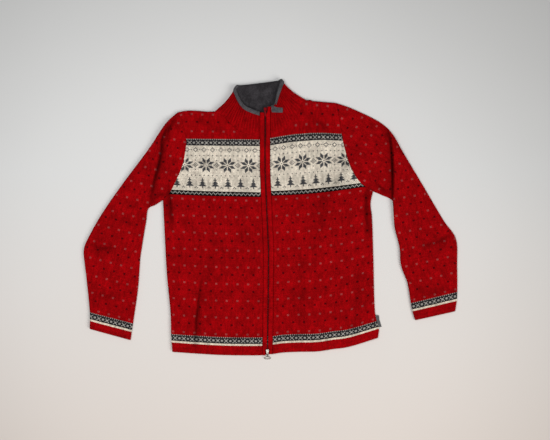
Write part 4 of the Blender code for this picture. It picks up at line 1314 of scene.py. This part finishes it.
def add_collar(path, rib_material):
    """The ribbed collar, its facing with the roll over the top edge, and the turned-out corner. The
    facing's grey has painted shade inside the collar and painted light on the roll and the corner.
    """
    facing_material_painted_shade = finish_knit(Knit("grey_facing_knit_painted_shade"), FACING_GREY_PAINTED_SHADE, 0.0016, 0.35)
    roll_material_painted_light = finish_knit(Knit("grey_facing_roll_painted_light"), ROLL_GREY_PAINTED_LIGHT, 0.0014, 0.25)
    thing = shell("collar_rib", *collar_grids(path))
    put_on(thing, "collar", rib_material)

    sections, knit = facing_sections(path)
    thing = loft("collar_facing_cloth", sections, knit)
    put_on(thing, "collar_facing", facing_material_painted_shade)
    thing.data.materials.append(roll_material_painted_light)
    # Painted light: the roll's faces take the lighter copy of the grey
    for number, face in enumerate(thing.data.polygons):
        on_roll_painted_light = len(face.vertices) == 4 and ROLL_COLUMNS_PAINTED_LIGHT[0] <= number % sections.shape[1] < ROLL_COLUMNS_PAINTED_LIGHT[1]
        face.material_index = int(on_roll_painted_light)

    thing = shell("collar_corner_cloth", *corner_grids(path))
    put_on(thing, "collar_corner", roll_material_painted_light)


def add_zip(frame, fronts, path, rib_material):
    """The bands, the tapes and the teeth, and the finish of the sliders, the pulls and the label."""
    tape_material = woven_tape("zip_tape_red", rgb(112, 6, 12))
    coil_material = moulded("zip_coil_red", rgb(70, 8, 12))
    metal = worn_metal("zip_metal_warm", rgb(205, 200, 190), 1.0, 0.3)
    lacquer = worn_metal("pull_red_lacquer", rgb(118, 3, 11), 0.0, 0.55, 0.06)
    label_material = woven_tape("label_grey", rgb(78, 78, 80))

    lines = {side: band_line(side, fronts[side], path) for side in OUTWARD}
    for side, line in lines.items():
        band = loft(f"band_{side}_knit", *band_sections(side, line))
        put_on(band, f"band_{side}", rib_material)
        tape = loft(f"zip_tape_{side}_woven", *tape_sections(side, line))
        put_on(tape, f"zip_tape_{side}", tape_material)
    put_on(zip_teeth(lines), "zip_chain", coil_material)

    finishes = {"slider_bottom": metal, "slider_top": lacquer, "pull_bottom": metal, "pull_top": lacquer,
                "side_label": label_material}
    for node, material in finishes.items():
        repaint(frame["nodes"][node], material)


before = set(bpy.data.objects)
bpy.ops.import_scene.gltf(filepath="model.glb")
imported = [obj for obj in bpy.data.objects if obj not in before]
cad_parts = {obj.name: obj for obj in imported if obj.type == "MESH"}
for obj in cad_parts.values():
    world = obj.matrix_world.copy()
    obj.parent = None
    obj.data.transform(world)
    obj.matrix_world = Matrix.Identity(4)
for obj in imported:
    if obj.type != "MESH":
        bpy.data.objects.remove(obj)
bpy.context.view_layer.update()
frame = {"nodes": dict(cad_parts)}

fronts = add_body()
path = collar_path(fronts)
rib_material = finish_knit(Knit("red_knit_rib"), RED, 0.0009)
add_collar(path, rib_material)
add_zip(frame, fronts, path, rib_material)
add_setting()
